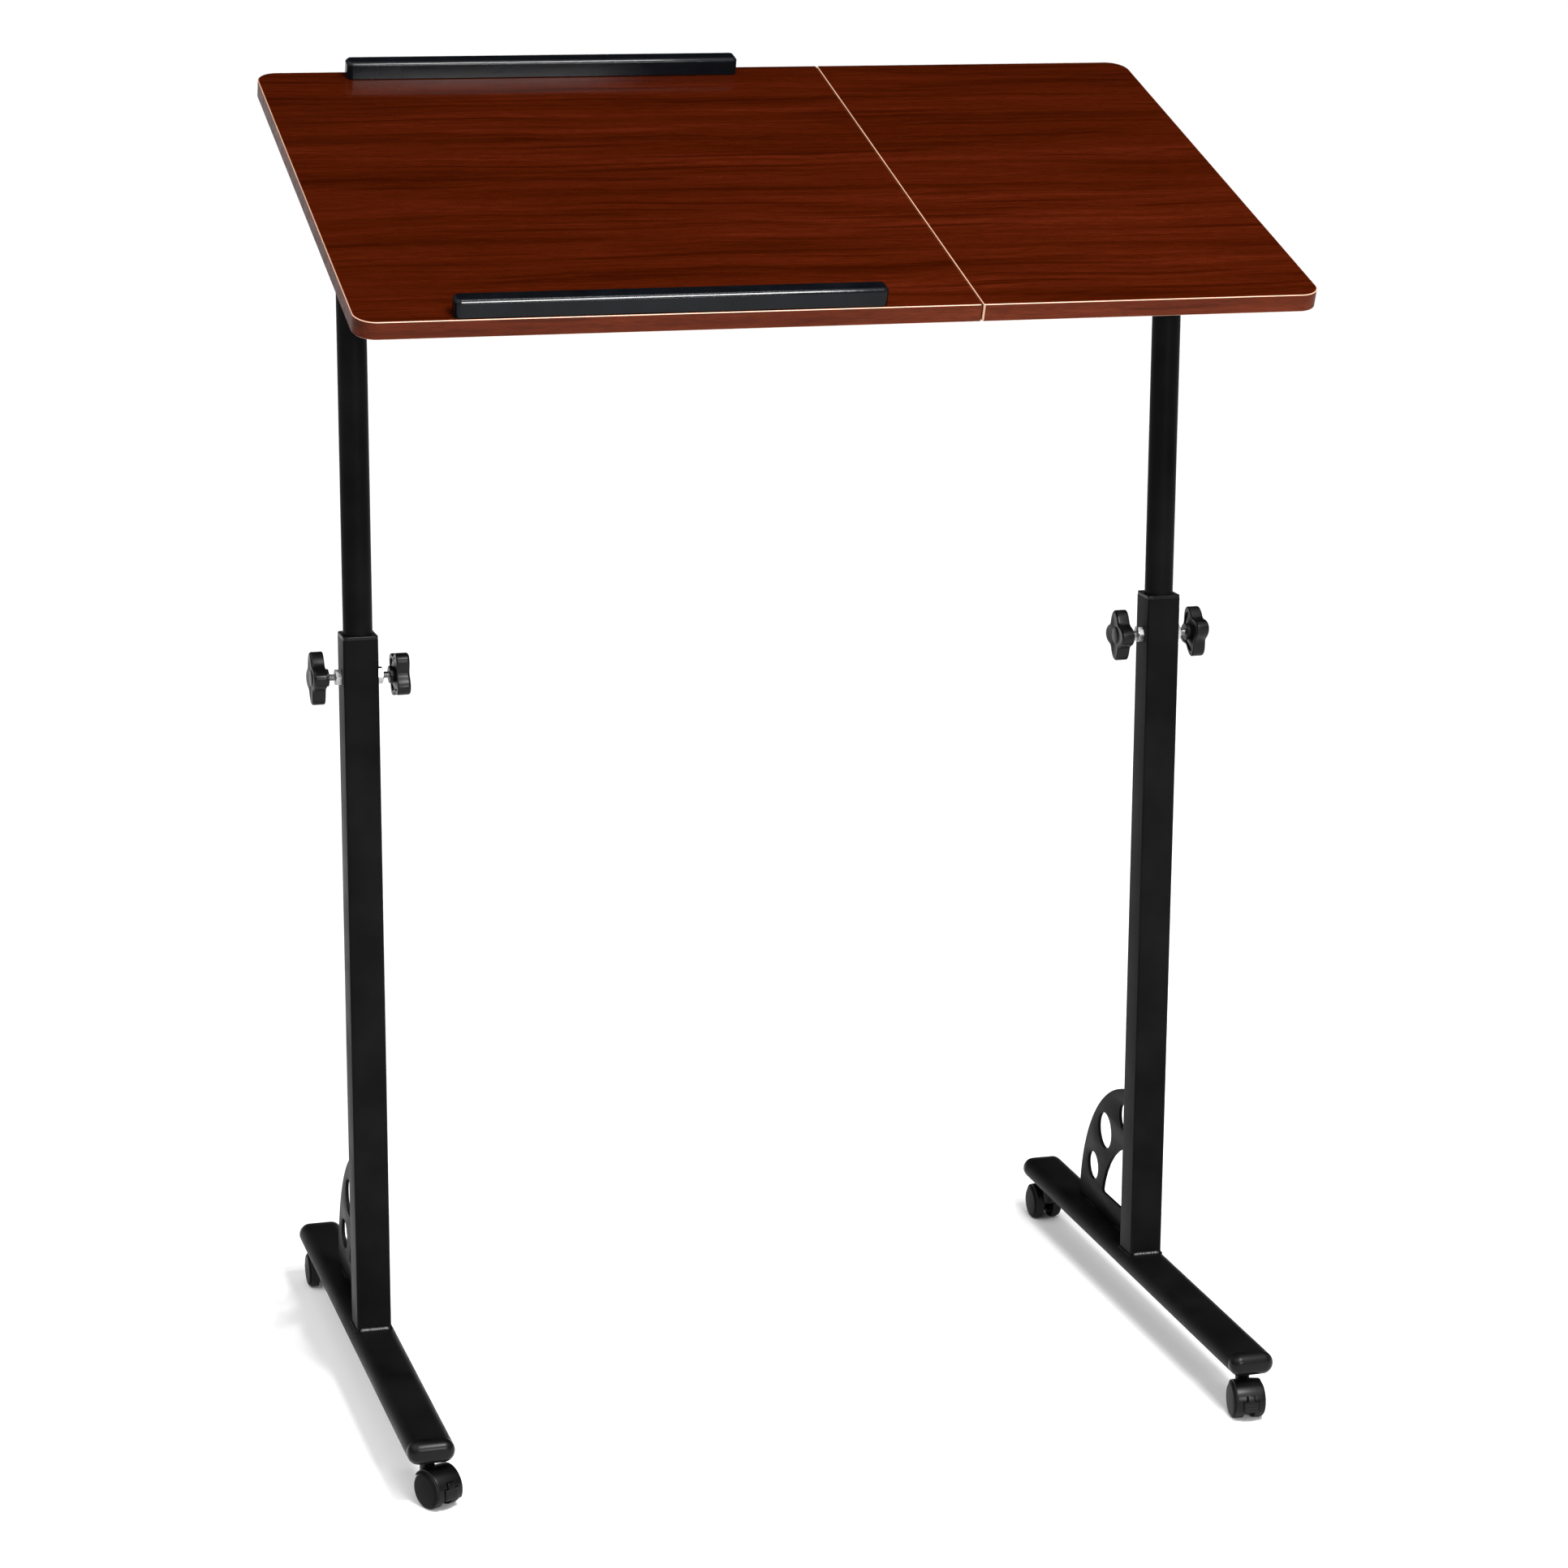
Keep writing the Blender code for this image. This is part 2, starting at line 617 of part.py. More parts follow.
def stem_mesh():
    """Pin that the hood turns on, with a flange under the foot and an upper pin in the cap's socket."""
    flange_top = STEM_FLANGE_BOTTOM + STEM_FLANGE
    top = FOOT_BOTTOM + FOOT_WALL + SOCKET_PIN_LENGTH
    bottom = WHEEL_RADIUS + STEM_ABOVE_AXLE
    profile = [
        (0, top),
        (SOCKET_PIN_DIAMETER / 2, top),
        (SOCKET_PIN_DIAMETER / 2, flange_top),
        (STEM_FLANGE_DIAMETER / 2, flange_top),
        (STEM_FLANGE_DIAMETER / 2, STEM_FLANGE_BOTTOM),
        (STEM_DIAMETER / 2, STEM_FLANGE_BOTTOM),
        (STEM_DIAMETER / 2, bottom),
        (0, bottom),
    ]
    return mesh_of(turned(profile, PIN_STEPS), ZINC)


def front_band(inside, outside, top_angle, bottom_angle, width):
    """A curved band round the axle, at the hood's front."""
    outline = arc(AXLE, outside, top_angle, bottom_angle, CORNER_STEPS)
    outline += arc(AXLE, inside, bottom_angle, top_angle, CORNER_STEPS)
    return drawn_out([outline], -width / 2, width / 2, FACING_X)


def lever_form(inside, outside, end_gap, side_gap):
    """The lever's tab with its neck above, or with gaps the pocket that it rocks in."""
    bottom = LEVER_BOTTOM_ANGLE if end_gap == 0 else HOOD_FRONT_ANGLE + end_gap
    top = LEVER_TOP_ANGLE - end_gap
    tab = front_band(inside, outside, top, bottom, LEVER_WIDTH + 2 * side_gap)
    neck_top = LEVER_NECK_ANGLE - end_gap
    neck = front_band(inside, outside, neck_top, LEVER_TOP_ANGLE + 1, LEVER_NECK_WIDTH + 2 * side_gap)
    return join(tab, neck)


def hood_mesh(with_brake):
    """Body of a caster: cover over both wheels, web between them, swivel boss and axle bore."""
    outline = arc(AXLE, HOOD_RADIUS, HOOD_REAR_ANGLE, HOOD_FRONT_ANGLE, ARC_STEPS)
    outline += arc(AXLE, HOOD_HUB / 2, HOOD_FRONT_ANGLE, 360 + HOOD_REAR_ANGLE, CORNER_STEPS * 2)
    hood = drawn_out([outline], -HOOD_WIDTH / 2, HOOD_WIDTH / 2, FACING_X)
    stem_bottom = WHEEL_RADIUS + STEM_ABOVE_AXLE - SEAT_GAP
    hood = join(hood, bar(BOSS_DIAMETER / 2, stem_bottom - BOSS_FLOOR, BOSS_TOP, TUBE_STEPS))
    at_axle = Matrix.Translation((0, *AXLE))
    for side in (-1, 1):
        near, far = sorted((side * HOOD_WEB / 2, side * (HOOD_WIDTH / 2 + CUT_PAST)))
        hood = cut(hood, moved(bar(WELL_RADIUS, near, far, WELL_STEPS, FACING_X), at_axle))
    stem_bore = STEM_DIAMETER / 2 + SEAT_GAP
    hood = cut(hood, bar(stem_bore, stem_bottom, BOSS_TOP + CUT_PAST, PIN_STEPS))
    axle_bore = bar(AXLE_DIAMETER / 2 + SEAT_GAP, -HOOD_WEB, HOOD_WEB, PIN_STEPS, FACING_X)
    hood = cut(hood, moved(axle_bore, at_axle))
    if with_brake:
        inside = WELL_RADIUS - LEVER_POCKET
        hood = cut(hood, lever_form(inside, HOOD_RADIUS + CUT_PAST, LEVER_END_GAP, SEAT_GAP))
    return mesh_of(hood, BLACK_PLASTIC)


def lever_mesh():
    """Rocker on the hood's front. Its origin is moved onto its own pivot when it is placed."""
    outside = HOOD_RADIUS + LEVER_PROUD
    lever = lever_form(outside - LEVER_THICKNESS, outside, 0, 0)
    return mesh_of(moved(lever, Matrix.Translation((0, *LEVER_PIVOT)).inverted()), BLACK_PLASTIC)


LEVER_PIVOT = arc(AXLE, HOOD_RADIUS, LEVER_TOP_ANGLE, LEVER_TOP_ANGLE, 1)[0]


def axle_mesh():
    half = HOOD_WEB / 2 + WHEEL_SIDE_GAP + AXLE_IN_WHEEL
    return mesh_of(bar(AXLE_DIAMETER / 2, -half, half, PIN_STEPS, FACING_X), ZINC)


def wheel_mesh():
    """Twin wheel's half, with a blind bore. Z points out of the caster, from the wheel's inner face."""
    bore = AXLE_DIAMETER / 2 + SEAT_GAP
    blind = AXLE_IN_WHEEL + SEAT_GAP
    shoulder = (WHEEL_RADIUS - WHEEL_SHOULDER, WHEEL_WIDTH - WHEEL_SHOULDER)
    profile = [
        (0, WHEEL_WIDTH),
        *arc(shoulder, WHEEL_SHOULDER, 90, 0, ROUND_SEGMENTS),
        (WHEEL_RADIUS, WHEEL_INNER_ROUND),
        (WHEEL_RADIUS - WHEEL_INNER_ROUND, 0),
        (bore, 0),
        (bore, blind),
        (0, blind),
    ]
    return mesh_of(turned(profile, WHEEL_STEPS), WHEEL_PLASTIC)


# Assembly


def facing(side):
    """Turns a piece whose Z points outwards to point along X on this side."""
    return Matrix.Rotation(side * pi / 2, 4, "Y")


def build_legs():
    foot = foot_tube_mesh()
    cap = foot_cap_mesh()
    post = outer_post_mesh()
    gusset = gusset_mesh()
    collar = collar_mesh()
    nut = nut_mesh()
    knob = knob_mesh(POST_SIDE / 2 - INNER_TUBE_RADIUS - SEAT_GAP)
    for name, side in SIDES:
        leg = frame(f"leg_{name}", (side * POST_X, 0, 0))
        piece(f"foot_tube_{name}", foot, leg)
        piece(f"outer_post_{name}", post, leg)
        piece(f"gusset_{name}", gusset, leg)
        piece(f"post_collar_{name}", collar, leg)
        for end_name, end in ENDS:
            turn = FACING_FRONT if end < 0 else HALF_TURN @ FACING_FRONT
            tube_end = FOOT_TUBE_LENGTH / 2 + SEAT_GAP
            place = Matrix.Translation((0, end * tube_end, FOOT_MIDDLE)) @ turn
            piece(f"foot_cap_{name}_{end_name}", cap, leg, place)
        for face_name, face in (("outer", side), ("inner", -side)):
            place = Matrix.Translation((face * POST_SIDE / 2, 0, KNOB_Z)) @ facing(face)
            piece(f"height_nut_{name}_{face_name}", nut, leg, place)
            turn = Matrix.Rotation(radians(KNOB_TURNS[f"{name}_{face_name}"]), 4, "Z")
            piece(f"height_knob_{name}_{face_name}", knob, leg, place @ turn)


def build_casters():
    stem = stem_mesh()
    hoods = {"front": hood_mesh(True), "rear": hood_mesh(False)}
    lever = lever_mesh()
    axle = axle_mesh()
    wheel = wheel_mesh()
    for name, side in SIDES:
        for end_name, end in ENDS:
            label = f"{name}_{end_name}"
            turn = Matrix.Rotation(radians(CASTER_TURNS[label]), 4, "Z")
            swivel = frame(f"caster_{label}", (side * POST_X, end * STEM_Y, 0), turn)
            piece(f"caster_stem_{label}", stem, swivel)
            piece(f"caster_hood_{label}", hoods[end_name], swivel)
            at_axle = Matrix.Translation((0, *AXLE))
            piece(f"caster_axle_{label}", axle, swivel, at_axle)
            for wheel_name, face in (("a", -1), ("b", 1)):
                inner_face = Matrix.Translation((face * (HOOD_WEB / 2 + WHEEL_SIDE_GAP), 0, 0))
                place = at_axle @ inner_face @ facing(face)
                piece(f"caster_wheel_{label}_{wheel_name}", wheel, swivel, place)
            if end < 0:
                piece(f"brake_lever_{label}", lever, swivel, Matrix.Translation((0, *LEVER_PIVOT)))


def build_rising_frame():
    rise = frame("rising_frame", (0, 0, BEAM_Z))
    tube = inner_tube_mesh()
    plug = beam_plug_mesh()
    piece("cross_beam", beam_mesh(), rise)
    for name, side in SIDES:
        piece(f"inner_tube_{name}", tube, rise, Matrix.Translation((side * POST_X, 0, -BEAM_Z)))
        end = Matrix.Translation((side * (POST_X + BEAM_PAST_POST), 0, 0)) @ facing(side)
        piece(f"beam_plug_{name}", plug, rise, end)


def build_leaves():
    strap = strap_mesh(False)
    clamp = strap_mesh(True)
    stop = stop_mesh()
    knob = knob_mesh(STRAP_THICKNESS)
    tilt = Matrix.Rotation(radians(LEAF_TILT), 4, "X")
    upside_down = Matrix.Rotation(pi, 4, "X")
    for (name, side), edges in zip(SIDES, (LEFT_LEAF, RIGHT_LEAF)):
        leaf = frame(f"leaf_{name}", (0, 0, BEAM_Z), tilt)
        piece(f"panel_{name}", panel_mesh(edges), leaf)
        piece(f"edge_band_{name}", edge_band_mesh(edges), leaf)
        near_post = side * (POST_X - STRAP_FROM_POST)
        near_seam = edges[1] - STRAP_FROM_SEAM if side < 0 else edges[0] + STRAP_FROM_SEAM
        piece(f"tilt_strap_{name}_outer", strap, leaf, Matrix.Translation((near_post, 0, 0)))
        piece(f"tilt_strap_{name}_inner", clamp, leaf, Matrix.Translation((near_seam, 0, 0)))
        seat = Matrix.Translation((near_seam, 0, -STRAP_OUTSIDE))
        piece(f"tilt_knob_{name}", knob, leaf, seat @ upside_down)
        if side < 0:
            middle = (edges[0] + edges[1]) / 2
            for end_name, end in ENDS:
                y = end * (LEAF_DEPTH / 2 - STOP_FROM_EDGE - STOP_DEPTH / 2)
                place = Matrix.Translation((middle, y, LEAF_TOPSIDE))
                piece(f"{end_name}_stop", stop, leaf, place)


build_legs()
build_casters()
build_rising_frame()
build_leaves()
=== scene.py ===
# %% [markdown]
# # A laptop table on casters, dressed for close views
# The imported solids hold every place, axis and main size of the table. This lesson reads them, builds a
# finished piece over each solid, and gives every surface the finish of the real thing: mahogany-pattern
# laminate, satin powder coat, moulded plastic and bright zinc. Units are metres, and Z is up.

import json
from math import cos, pi, radians, sin, sqrt, tan, tau

import bmesh
import bpy
from mathutils import Matrix, Vector


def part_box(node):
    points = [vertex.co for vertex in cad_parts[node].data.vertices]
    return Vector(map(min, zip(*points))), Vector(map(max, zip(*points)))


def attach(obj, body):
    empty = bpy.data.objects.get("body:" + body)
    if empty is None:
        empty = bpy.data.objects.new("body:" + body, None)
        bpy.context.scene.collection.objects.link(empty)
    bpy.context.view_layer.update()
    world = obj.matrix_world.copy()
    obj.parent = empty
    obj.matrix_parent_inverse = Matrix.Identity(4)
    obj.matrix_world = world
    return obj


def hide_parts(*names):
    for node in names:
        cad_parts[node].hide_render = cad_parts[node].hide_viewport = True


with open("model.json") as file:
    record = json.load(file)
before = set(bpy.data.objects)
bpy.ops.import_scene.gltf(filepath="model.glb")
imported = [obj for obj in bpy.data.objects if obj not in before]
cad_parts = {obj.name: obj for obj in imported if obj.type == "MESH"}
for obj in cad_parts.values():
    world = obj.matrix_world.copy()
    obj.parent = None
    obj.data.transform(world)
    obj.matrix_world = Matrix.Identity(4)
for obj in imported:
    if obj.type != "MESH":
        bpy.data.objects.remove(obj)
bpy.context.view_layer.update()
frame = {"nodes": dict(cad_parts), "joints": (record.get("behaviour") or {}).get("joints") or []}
solids = frame["nodes"]
joints = {joint["name"]: joint for joint in frame["joints"]}
print(f"{len(solids)} solids and {len(joints)} joints")

# %% [markdown]
# ## Reading places from the frame
# Every joint knows a point and an axis, and every solid knows its own corners. A small set of readers turns
# those into places, so that no position has to be typed twice and a finished piece lands on its solid.

# %% Readers for points, axes and boxes
ALONG_X = Vector((1, 0, 0))
UP = Vector((0, 0, 1))
WORLD = Matrix()
SIDES = ("left", "right")


def spot(joint):
    return Vector(joints[joint]["pos_m"])


def axis_of(joint):
    return Vector(joints[joint]["axis"]).normalized()


def axes(origin, x, z):
    """A place with this origin, X and Z."""
    turn = Matrix((x, z.cross(x), z)).transposed()
    return Matrix.Translation(origin) @ turn.to_4x4()


def points_in(node, place):
    back = place.inverted()
    return [back @ vertex.co for vertex in solids[node].data.vertices]


def box_in(node, place):
    """A solid's lowest and highest corner, in a place's own axes."""
    points = points_in(node, place)
    low = Vector([min(point[i] for point in points) for i in range(3)])
    high = Vector([max(point[i] for point in points) for i in range(3)])
    return low, high


LEAF = axes(spot("left_leaf_tilt"), ALONG_X, -axis_of("left_tilt_knob_turn"))
leaf_low, leaf_high = box_in("edge_band_left", LEAF)
print("leaf frame at", [round(c, 4) for c in LEAF.translation])
print("leaf thickness", round(leaf_high.z - leaf_low.z, 4))

# %% [markdown]
# ## Objects and nodes in few lines
# A new object has to be linked to the scene before it shows, and the mesh that a curve or a modifier makes is
# read from the evaluated scene. Shader trees and geometry trees are both lists of nodes and wires: one helper
# adds a node, sets its settings, and either types a value into an input or runs a wire to it.

# %% Helpers for objects and nodes
def add_object(name, data):
    made = bpy.data.objects.new(name, data)
    bpy.context.scene.collection.objects.link(made)
    return made


def plain_mesh(host):
    """What an object's curve or modifiers make, as a plain mesh. The object itself goes."""
    graph = bpy.context.evaluated_depsgraph_get()
    mesh = bpy.data.meshes.new_from_object(host.evaluated_get(graph))
    bpy.data.objects.remove(host)
    return mesh


def add_node(tree, kind, inputs=(), **settings):
    """Adds a node, sets it up, and sets or joins its inputs."""
    made = tree.nodes.new(kind)
    for label, value in settings.items():
        setattr(made, label, value)
    for label, value in dict(inputs).items():
        if isinstance(value, bpy.types.NodeSocket):
            tree.links.new(value, made.inputs[label])
        else:
            made.inputs[label].default_value = value
    return made


def wire(tree, kind, inputs=(), output=0, **settings):
    """One output of a new node: the first, unless another is asked for."""
    return add_node(tree, kind, inputs, **settings).outputs[output]


def maths(tree, operation, *values):
    return wire(tree, "ShaderNodeMath", dict(enumerate(values)), operation=operation)


def spread(tree, value, low, high, start=0.3, end=0.7, **settings):
    """Spreads a value's span from start to end over low to high."""
    return wire(tree, "ShaderNodeMapRange", {
        "Value": value, "From Min": start, "From Max": end, "To Min": low, "To Max": high}, **settings)


# %% [markdown]
# ## Camera
# The photo was matched by corners of the top, feet and posts: the camera stands a little to the left of the
# table and looks down at it. Its lens follows from the focal length in the photo's own pixels.

# %% Camera at the photo's viewing angle
PHOTO_SIDE = 1932
FOCAL_PIXELS = 4935.2
SENSOR_WIDTH = 36.0
CAMERA_SPOT = (-0.9329, -3.2721, 1.3572)
CAMERA_YAW = 16.14
CAMERA_PITCH = 13.74
CAMERA_ROLL = 0.32
FAR_CLIP = 500.0

camera = add_object("camera", bpy.data.cameras.new("camera"))
camera.data.sensor_width = SENSOR_WIDTH
camera.data.lens = FOCAL_PIXELS / PHOTO_SIDE * SENSOR_WIDTH
camera.data.clip_end = FAR_CLIP
heading = Matrix.Rotation(radians(-CAMERA_YAW), 4, "Z")
nod = Matrix.Rotation(radians(90 - CAMERA_PITCH), 4, "X")
lean = Matrix.Rotation(radians(CAMERA_ROLL), 4, "Z")
camera.matrix_world = Matrix.Translation(CAMERA_SPOT) @ heading @ nod @ lean
bpy.context.scene.camera = camera
print(f"lens {camera.data.lens:.1f} mm")

# %% [markdown]
# ## Soft studio light
# A white sweep in a studio is lit by large soft sources. Here the room has a white horizon, grey walls and a
# bright ceiling, and a broad sun evens out the floor. One patch of the ceiling is dark: the glossy top
# mirrors it and the walls, which keeps its brown deep and saturated.

# %% Room
HORIZON_LIGHT = 1.05
WALL_LIGHT = 0.22
CEILING_LIGHT = 1.35
WALL_RISE = (0.05, 0.15)
CEILING_RISE = (0.35, 0.75)
DARK_TOWARD = Vector((0.26, 0.60, 0.75)).normalized()
DARK_INNER = 30.0
DARK_OUTER = 55.0
EASED = {"interpolation_type": "SMOOTHSTEP"}


def studio_room():
    room = bpy.data.worlds.new("studio_room")
    room.use_nodes = True
    tree = room.node_tree
    toward = wire(tree, "ShaderNodeTexCoord", output="Generated")
    height = wire(tree, "ShaderNodeSeparateXYZ", {"Vector": toward}, "Z")
    facing = wire(tree, "ShaderNodeVectorMath", {0: toward, 1: DARK_TOWARD}, "Value", operation="DOT_PRODUCT")
    edges = [cos(radians(angle)) for angle in (DARK_OUTER, DARK_INNER)]
    walls = spread(tree, height, HORIZON_LIGHT, WALL_LIGHT, *WALL_RISE, **EASED)
    ceiling = spread(tree, height, 0.0, CEILING_LIGHT - WALL_LIGHT, *CEILING_RISE, **EASED)
    patch = spread(tree, facing, 1.0, 0.0, *edges, **EASED)
    light = maths(tree, "MULTIPLY", maths(tree, "ADD", walls, ceiling), patch)
    tree.links.new(light, tree.nodes["Background"].inputs["Strength"])
    tree.nodes["Background"].inputs["Color"].default_value = (1, 1, 1, 1)
    bpy.context.scene.world = room


studio_room()
bpy.context.scene.view_settings.view_transform = "Standard"
print("room with walls at", WALL_LIGHT, "and a ceiling at", CEILING_LIGHT)

# %% [markdown]
# ### Sun, strips and floor
# Each stop bar mirrors one thin strip light in its edge, so the strips stand where a mirror in that edge
# would show them to the camera. A softbox in front lights up the rear bar's own mirror image in the top.

# %% Sun, softboxes and floor
SUN_FROM = Vector((-0.15, -0.25, 1.0))
SUN_STRENGTH = 2.0
SUN_SPREAD = 90.0
SOFTBOXES = {
    "front_softbox": {"at": (0.42, -3.3, 1.36), "aim": (-0.2, 0.2, 1.13), "size": (0.9, 0.2), "power": 56.0},
    "near_strip": {"at": (0.28, -1.65, 2.33), "aim": (-0.2, -0.28, 0.95), "size": (0.8, 0.14), "power": 62.0},
    "far_strip": {"at": (0.40, -1.63, 3.28), "aim": (-0.2, 0.23, 1.12), "size": (0.8, 0.14), "power": 42.0},
}
FLOOR_SIDE = 300.0
FLOOR_LOOK = {"Base Color": (0.88, 0.88, 0.88, 1), "Roughness": 0.7, "Specular IOR Level": 0.1}


def looking(origin, target):
    """A place whose minus Z points from its origin to a target."""
    toward = Vector(target) - Vector(origin)
    return Matrix.Translation(origin) @ toward.to_track_quat("-Z", "Y").to_matrix().to_4x4()


def softbox(name, at, aim, size, power):
    lamp = bpy.data.lights.new(name, "AREA")
    lamp.shape = "RECTANGLE"
    lamp.size, lamp.size_y = size
    lamp.energy = power
    add_object(name, lamp).matrix_world = looking(at, aim)


def pale_floor():
    paint = bpy.data.materials.new("pale_floor")
    paint.use_nodes = True
    for label, value in FLOOR_LOOK.items():
        paint.node_tree.nodes["Principled BSDF"].inputs[label].default_value = value
    half = FLOOR_SIDE / 2
    corners = [(-half, -half, 0), (half, -half, 0), (half, half, 0), (-half, half, 0)]
    sheet = bpy.data.meshes.new("floor")
    sheet.from_pydata(corners, [], [(0, 1, 2, 3)])
    sheet.materials.append(paint)
    add_object("floor", sheet)


sun = add_object("sun", bpy.data.lights.new("sun", "SUN"))
sun.data.energy = SUN_STRENGTH
sun.data.angle = radians(SUN_SPREAD)
sun.matrix_world = looking(SUN_FROM, (0, 0, 0))
for name, settings in SOFTBOXES.items():
    softbox(name, **settings)
pale_floor()

# %% [markdown]
# ## Finishes: a base for all of them
# Each finish starts as a Principled shader that reads Object coordinates, which are the table's own metres.
# Noise at a named grain size drives colour, roughness and a shallow bump, so nothing is one flat value.

# %% Finish helpers
def new_finish(name):
    """A material with its tree, its shader and the coordinates that all patterns read."""
    made = bpy.data.materials.new(name)
    made.use_nodes = True
    tree = made.node_tree
    return made, tree, tree.nodes["Principled BSDF"], wire(tree, "ShaderNodeTexCoord", output="Object")


def grain(tree, place, size, detail=2.0, stretch=None, rough=0.5):
    """Noise whose grains have about this size in metres, drawn out along an axis if asked."""
    if stretch:
        place = wire(tree, "ShaderNodeMapping", {"Vector": place, "Scale": stretch})
    return wire(tree, "ShaderNodeTexNoise", {
        "Vector": place, "Scale": 1 / size, "Detail": detail, "Roughness": rough})


def blend_colours(tree, value, stops):
    """A colour ramp: stops are (place, colour)."""
    ramp = add_node(tree, "ShaderNodeValToRGB", {"Fac": value})
    keys = ramp.color_ramp.elements
    while len(keys) < len(stops):
        keys.new(0.5)
    for key, (place, colour) in zip(keys, stops):
        key.position = place
        key.color = (*colour, 1)
    return ramp.outputs["Color"]


def coat(tree, shader, tint, roughness, height, depth, strength=1.0):
    """Joins a tint, a roughness and a bump of this depth to the shader."""
    bump = wire(tree, "ShaderNodeBump", {"Height": height, "Distance": depth, "Strength": strength})
    for label, value in (("Base Color", tint), ("Roughness", roughness), ("Normal", bump)):
        tree.links.new(value, shader.inputs[label])


def patchy_finish(name, tints, gloss, patch, grain_size, depth, sheen=0.5, metal=0.0,
                  patch_detail=3.0, grain_detail=2.0):
    """Patches of this size tint and gloss the surface, and a fine grain makes it bumpy."""
    made, tree, shader, place = new_finish(name)
    patches = grain(tree, place, patch, patch_detail)
    shader.inputs["Specular IOR Level"].default_value = sheen
    shader.inputs["Metallic"].default_value = metal
    coat(tree, shader, blend_colours(tree, patches, tints), spread(tree, patches, *gloss),
         grain(tree, place, grain_size, grain_detail), depth)
    return made


# %% [markdown]
# ### Powder coat and moulded plastics
# Powder coat is paint that was baked from dust: satin, with a faint orange peel. The knobs, caps and caster
# bodies are moulded in black plastic with a fine spark-eroded grain, and the two stop bars are polished.
# They differ in grain size, gloss and tint, so one recipe with named values makes them all.

# %% Black finishes
SMEAR_SPAN = (0.3, 0.72)


def black_finish(name, dark, light, **recipe):
    return patchy_finish(name, list(zip(SMEAR_SPAN, (dark, light))), **recipe)


POWDER = black_finish("black_powder_coat", (0.0022, 0.0022, 0.0024), (0.0046, 0.0046, 0.0049),
                      gloss=(0.32, 0.44), patch=0.05, grain_size=0.0011, depth=0.00004, sheen=0.02)
# The weld coat is the same powder coat in a lighter tint: a painted highlight on the beads; its higher gloss
# and sheen are real.
WELD_COAT_PAINTED_HIGHLIGHT = black_finish("powder_coat_on_weld_painted_highlight", (0.012, 0.012, 0.0125), (0.030, 0.030, 0.031),
                         gloss=(0.22, 0.36), patch=0.05, grain_size=0.0009, depth=0.00004, sheen=0.6)
PLASTIC = black_finish("moulded_black_plastic", (0.0014, 0.0014, 0.0016), (0.0030, 0.0030, 0.0033),
                       gloss=(0.26, 0.36), patch=0.02, grain_size=0.0006, depth=0.00003, sheen=0.13)
WHEEL = black_finish("wheel_disc_plastic", (0.0024, 0.0024, 0.0026), (0.0050, 0.0050, 0.0054),
                     gloss=(0.34, 0.46), patch=0.02, grain_size=0.0007, depth=0.00003, sheen=0.03)
GLOSSY = black_finish("glossy_black_plastic", (0.0012, 0.0015, 0.0020), (0.0026, 0.0031, 0.0042),
                      gloss=(0.08, 0.13), patch=0.03, grain_size=0.006, depth=0.00002, sheen=0.10)
TREAD = black_finish("wheel_tread", (0.006, 0.006, 0.0063), (0.014, 0.0136, 0.0132),
                     gloss=(0.5, 0.72), patch=0.006, grain_size=0.0008, depth=0.00005, sheen=0.12)
print("black finishes:", [made.name for made in (POWDER, WELD_COAT_PAINTED_HIGHLIGHT, PLASTIC, WHEEL, GLOSSY, TREAD)])

# %% [markdown]
# ### Zinc plate
# Studs, nuts, stems and screws are steel with a thin zinc plate. It is a metal, so the tint is in the
# mirror itself: a cool grey that wanders a little to straw, with dull clouds where hands and tools were.

# %% Bright zinc
ZINC_TINTS = [(0.3, (0.24, 0.245, 0.255)), (0.6, (0.37, 0.37, 0.365)), (0.8, (0.42, 0.40, 0.36))]
ZINC = patchy_finish("bright_zinc", ZINC_TINTS, gloss=(0.2, 0.42), patch=0.004, grain_size=0.0008,
                     depth=0.00002, metal=1.0, patch_detail=4.0, grain_detail=3.0)
print("metal finish:", ZINC.name)

# %% [markdown]
# ### Mahogany-pattern laminate
# The board is not solid wood: a printed wood pattern lies under a clear melamine skin. The pattern runs along
# the table's width. It is noise that is stretched along X and drawn in the leaf's own plane: broad ribbons,
# thin streaks, fibres and short dark pores, added up and read through a ramp of browns.

# %% Wood print in the leaf's own plane
SWAY = {"size": 0.22, "detail": 2.0, "stretch": (1.0, 2.2, 1.0)}
SWAY_REACH = 0.012
RIBBONS = {"size": 0.032, "detail": 3.0, "stretch": (0.07, 1.0, 1.0)}
STREAKS = {"size": 0.008, "detail": 4.0, "stretch": (0.035, 1.0, 1.0), "rough": 0.6}
FIBRES = {"size": 0.0016, "detail": 3.0, "stretch": (0.07, 1.0, 1.0), "rough": 0.65}
DARK_LINES = {"size": 0.0065, "detail": 2.0, "stretch": (0.028, 1.0, 1.0)}
PORES = {"size": 0.0007, "detail": 1.0, "stretch": (0.06, 1.0, 1.0)}
TONE_SHARES = (0.38, 0.34, 0.28)
BROWN_PLACES = (0.38, 0.47, 0.54, 0.63)
LINE_SHADE = (0.0, 0.8, 0.57, 0.68)
PORE_SHADE = (0.0, 0.65, 0.56, 0.70)
FIBRE_DEPTH = 0.00003
FIBRE_STRENGTH = 0.5


def swaying(tree, place):
    """Coordinates in the leaf's plane that drift across the grain, so that no line runs dead straight."""
    back = LEAF.inverted()
    flat = wire(tree, "ShaderNodeMapping", {
        "Vector": place, "Location": back.translation, "Rotation": back.to_euler()})
    sway = spread(tree, grain(tree, flat, **SWAY), -SWAY_REACH, SWAY_REACH, 0.0, 1.0)
    drift = wire(tree, "ShaderNodeCombineXYZ", {"Y": sway})
    return wire(tree, "ShaderNodeVectorMath", {0: flat, 1: drift}, operation="ADD")


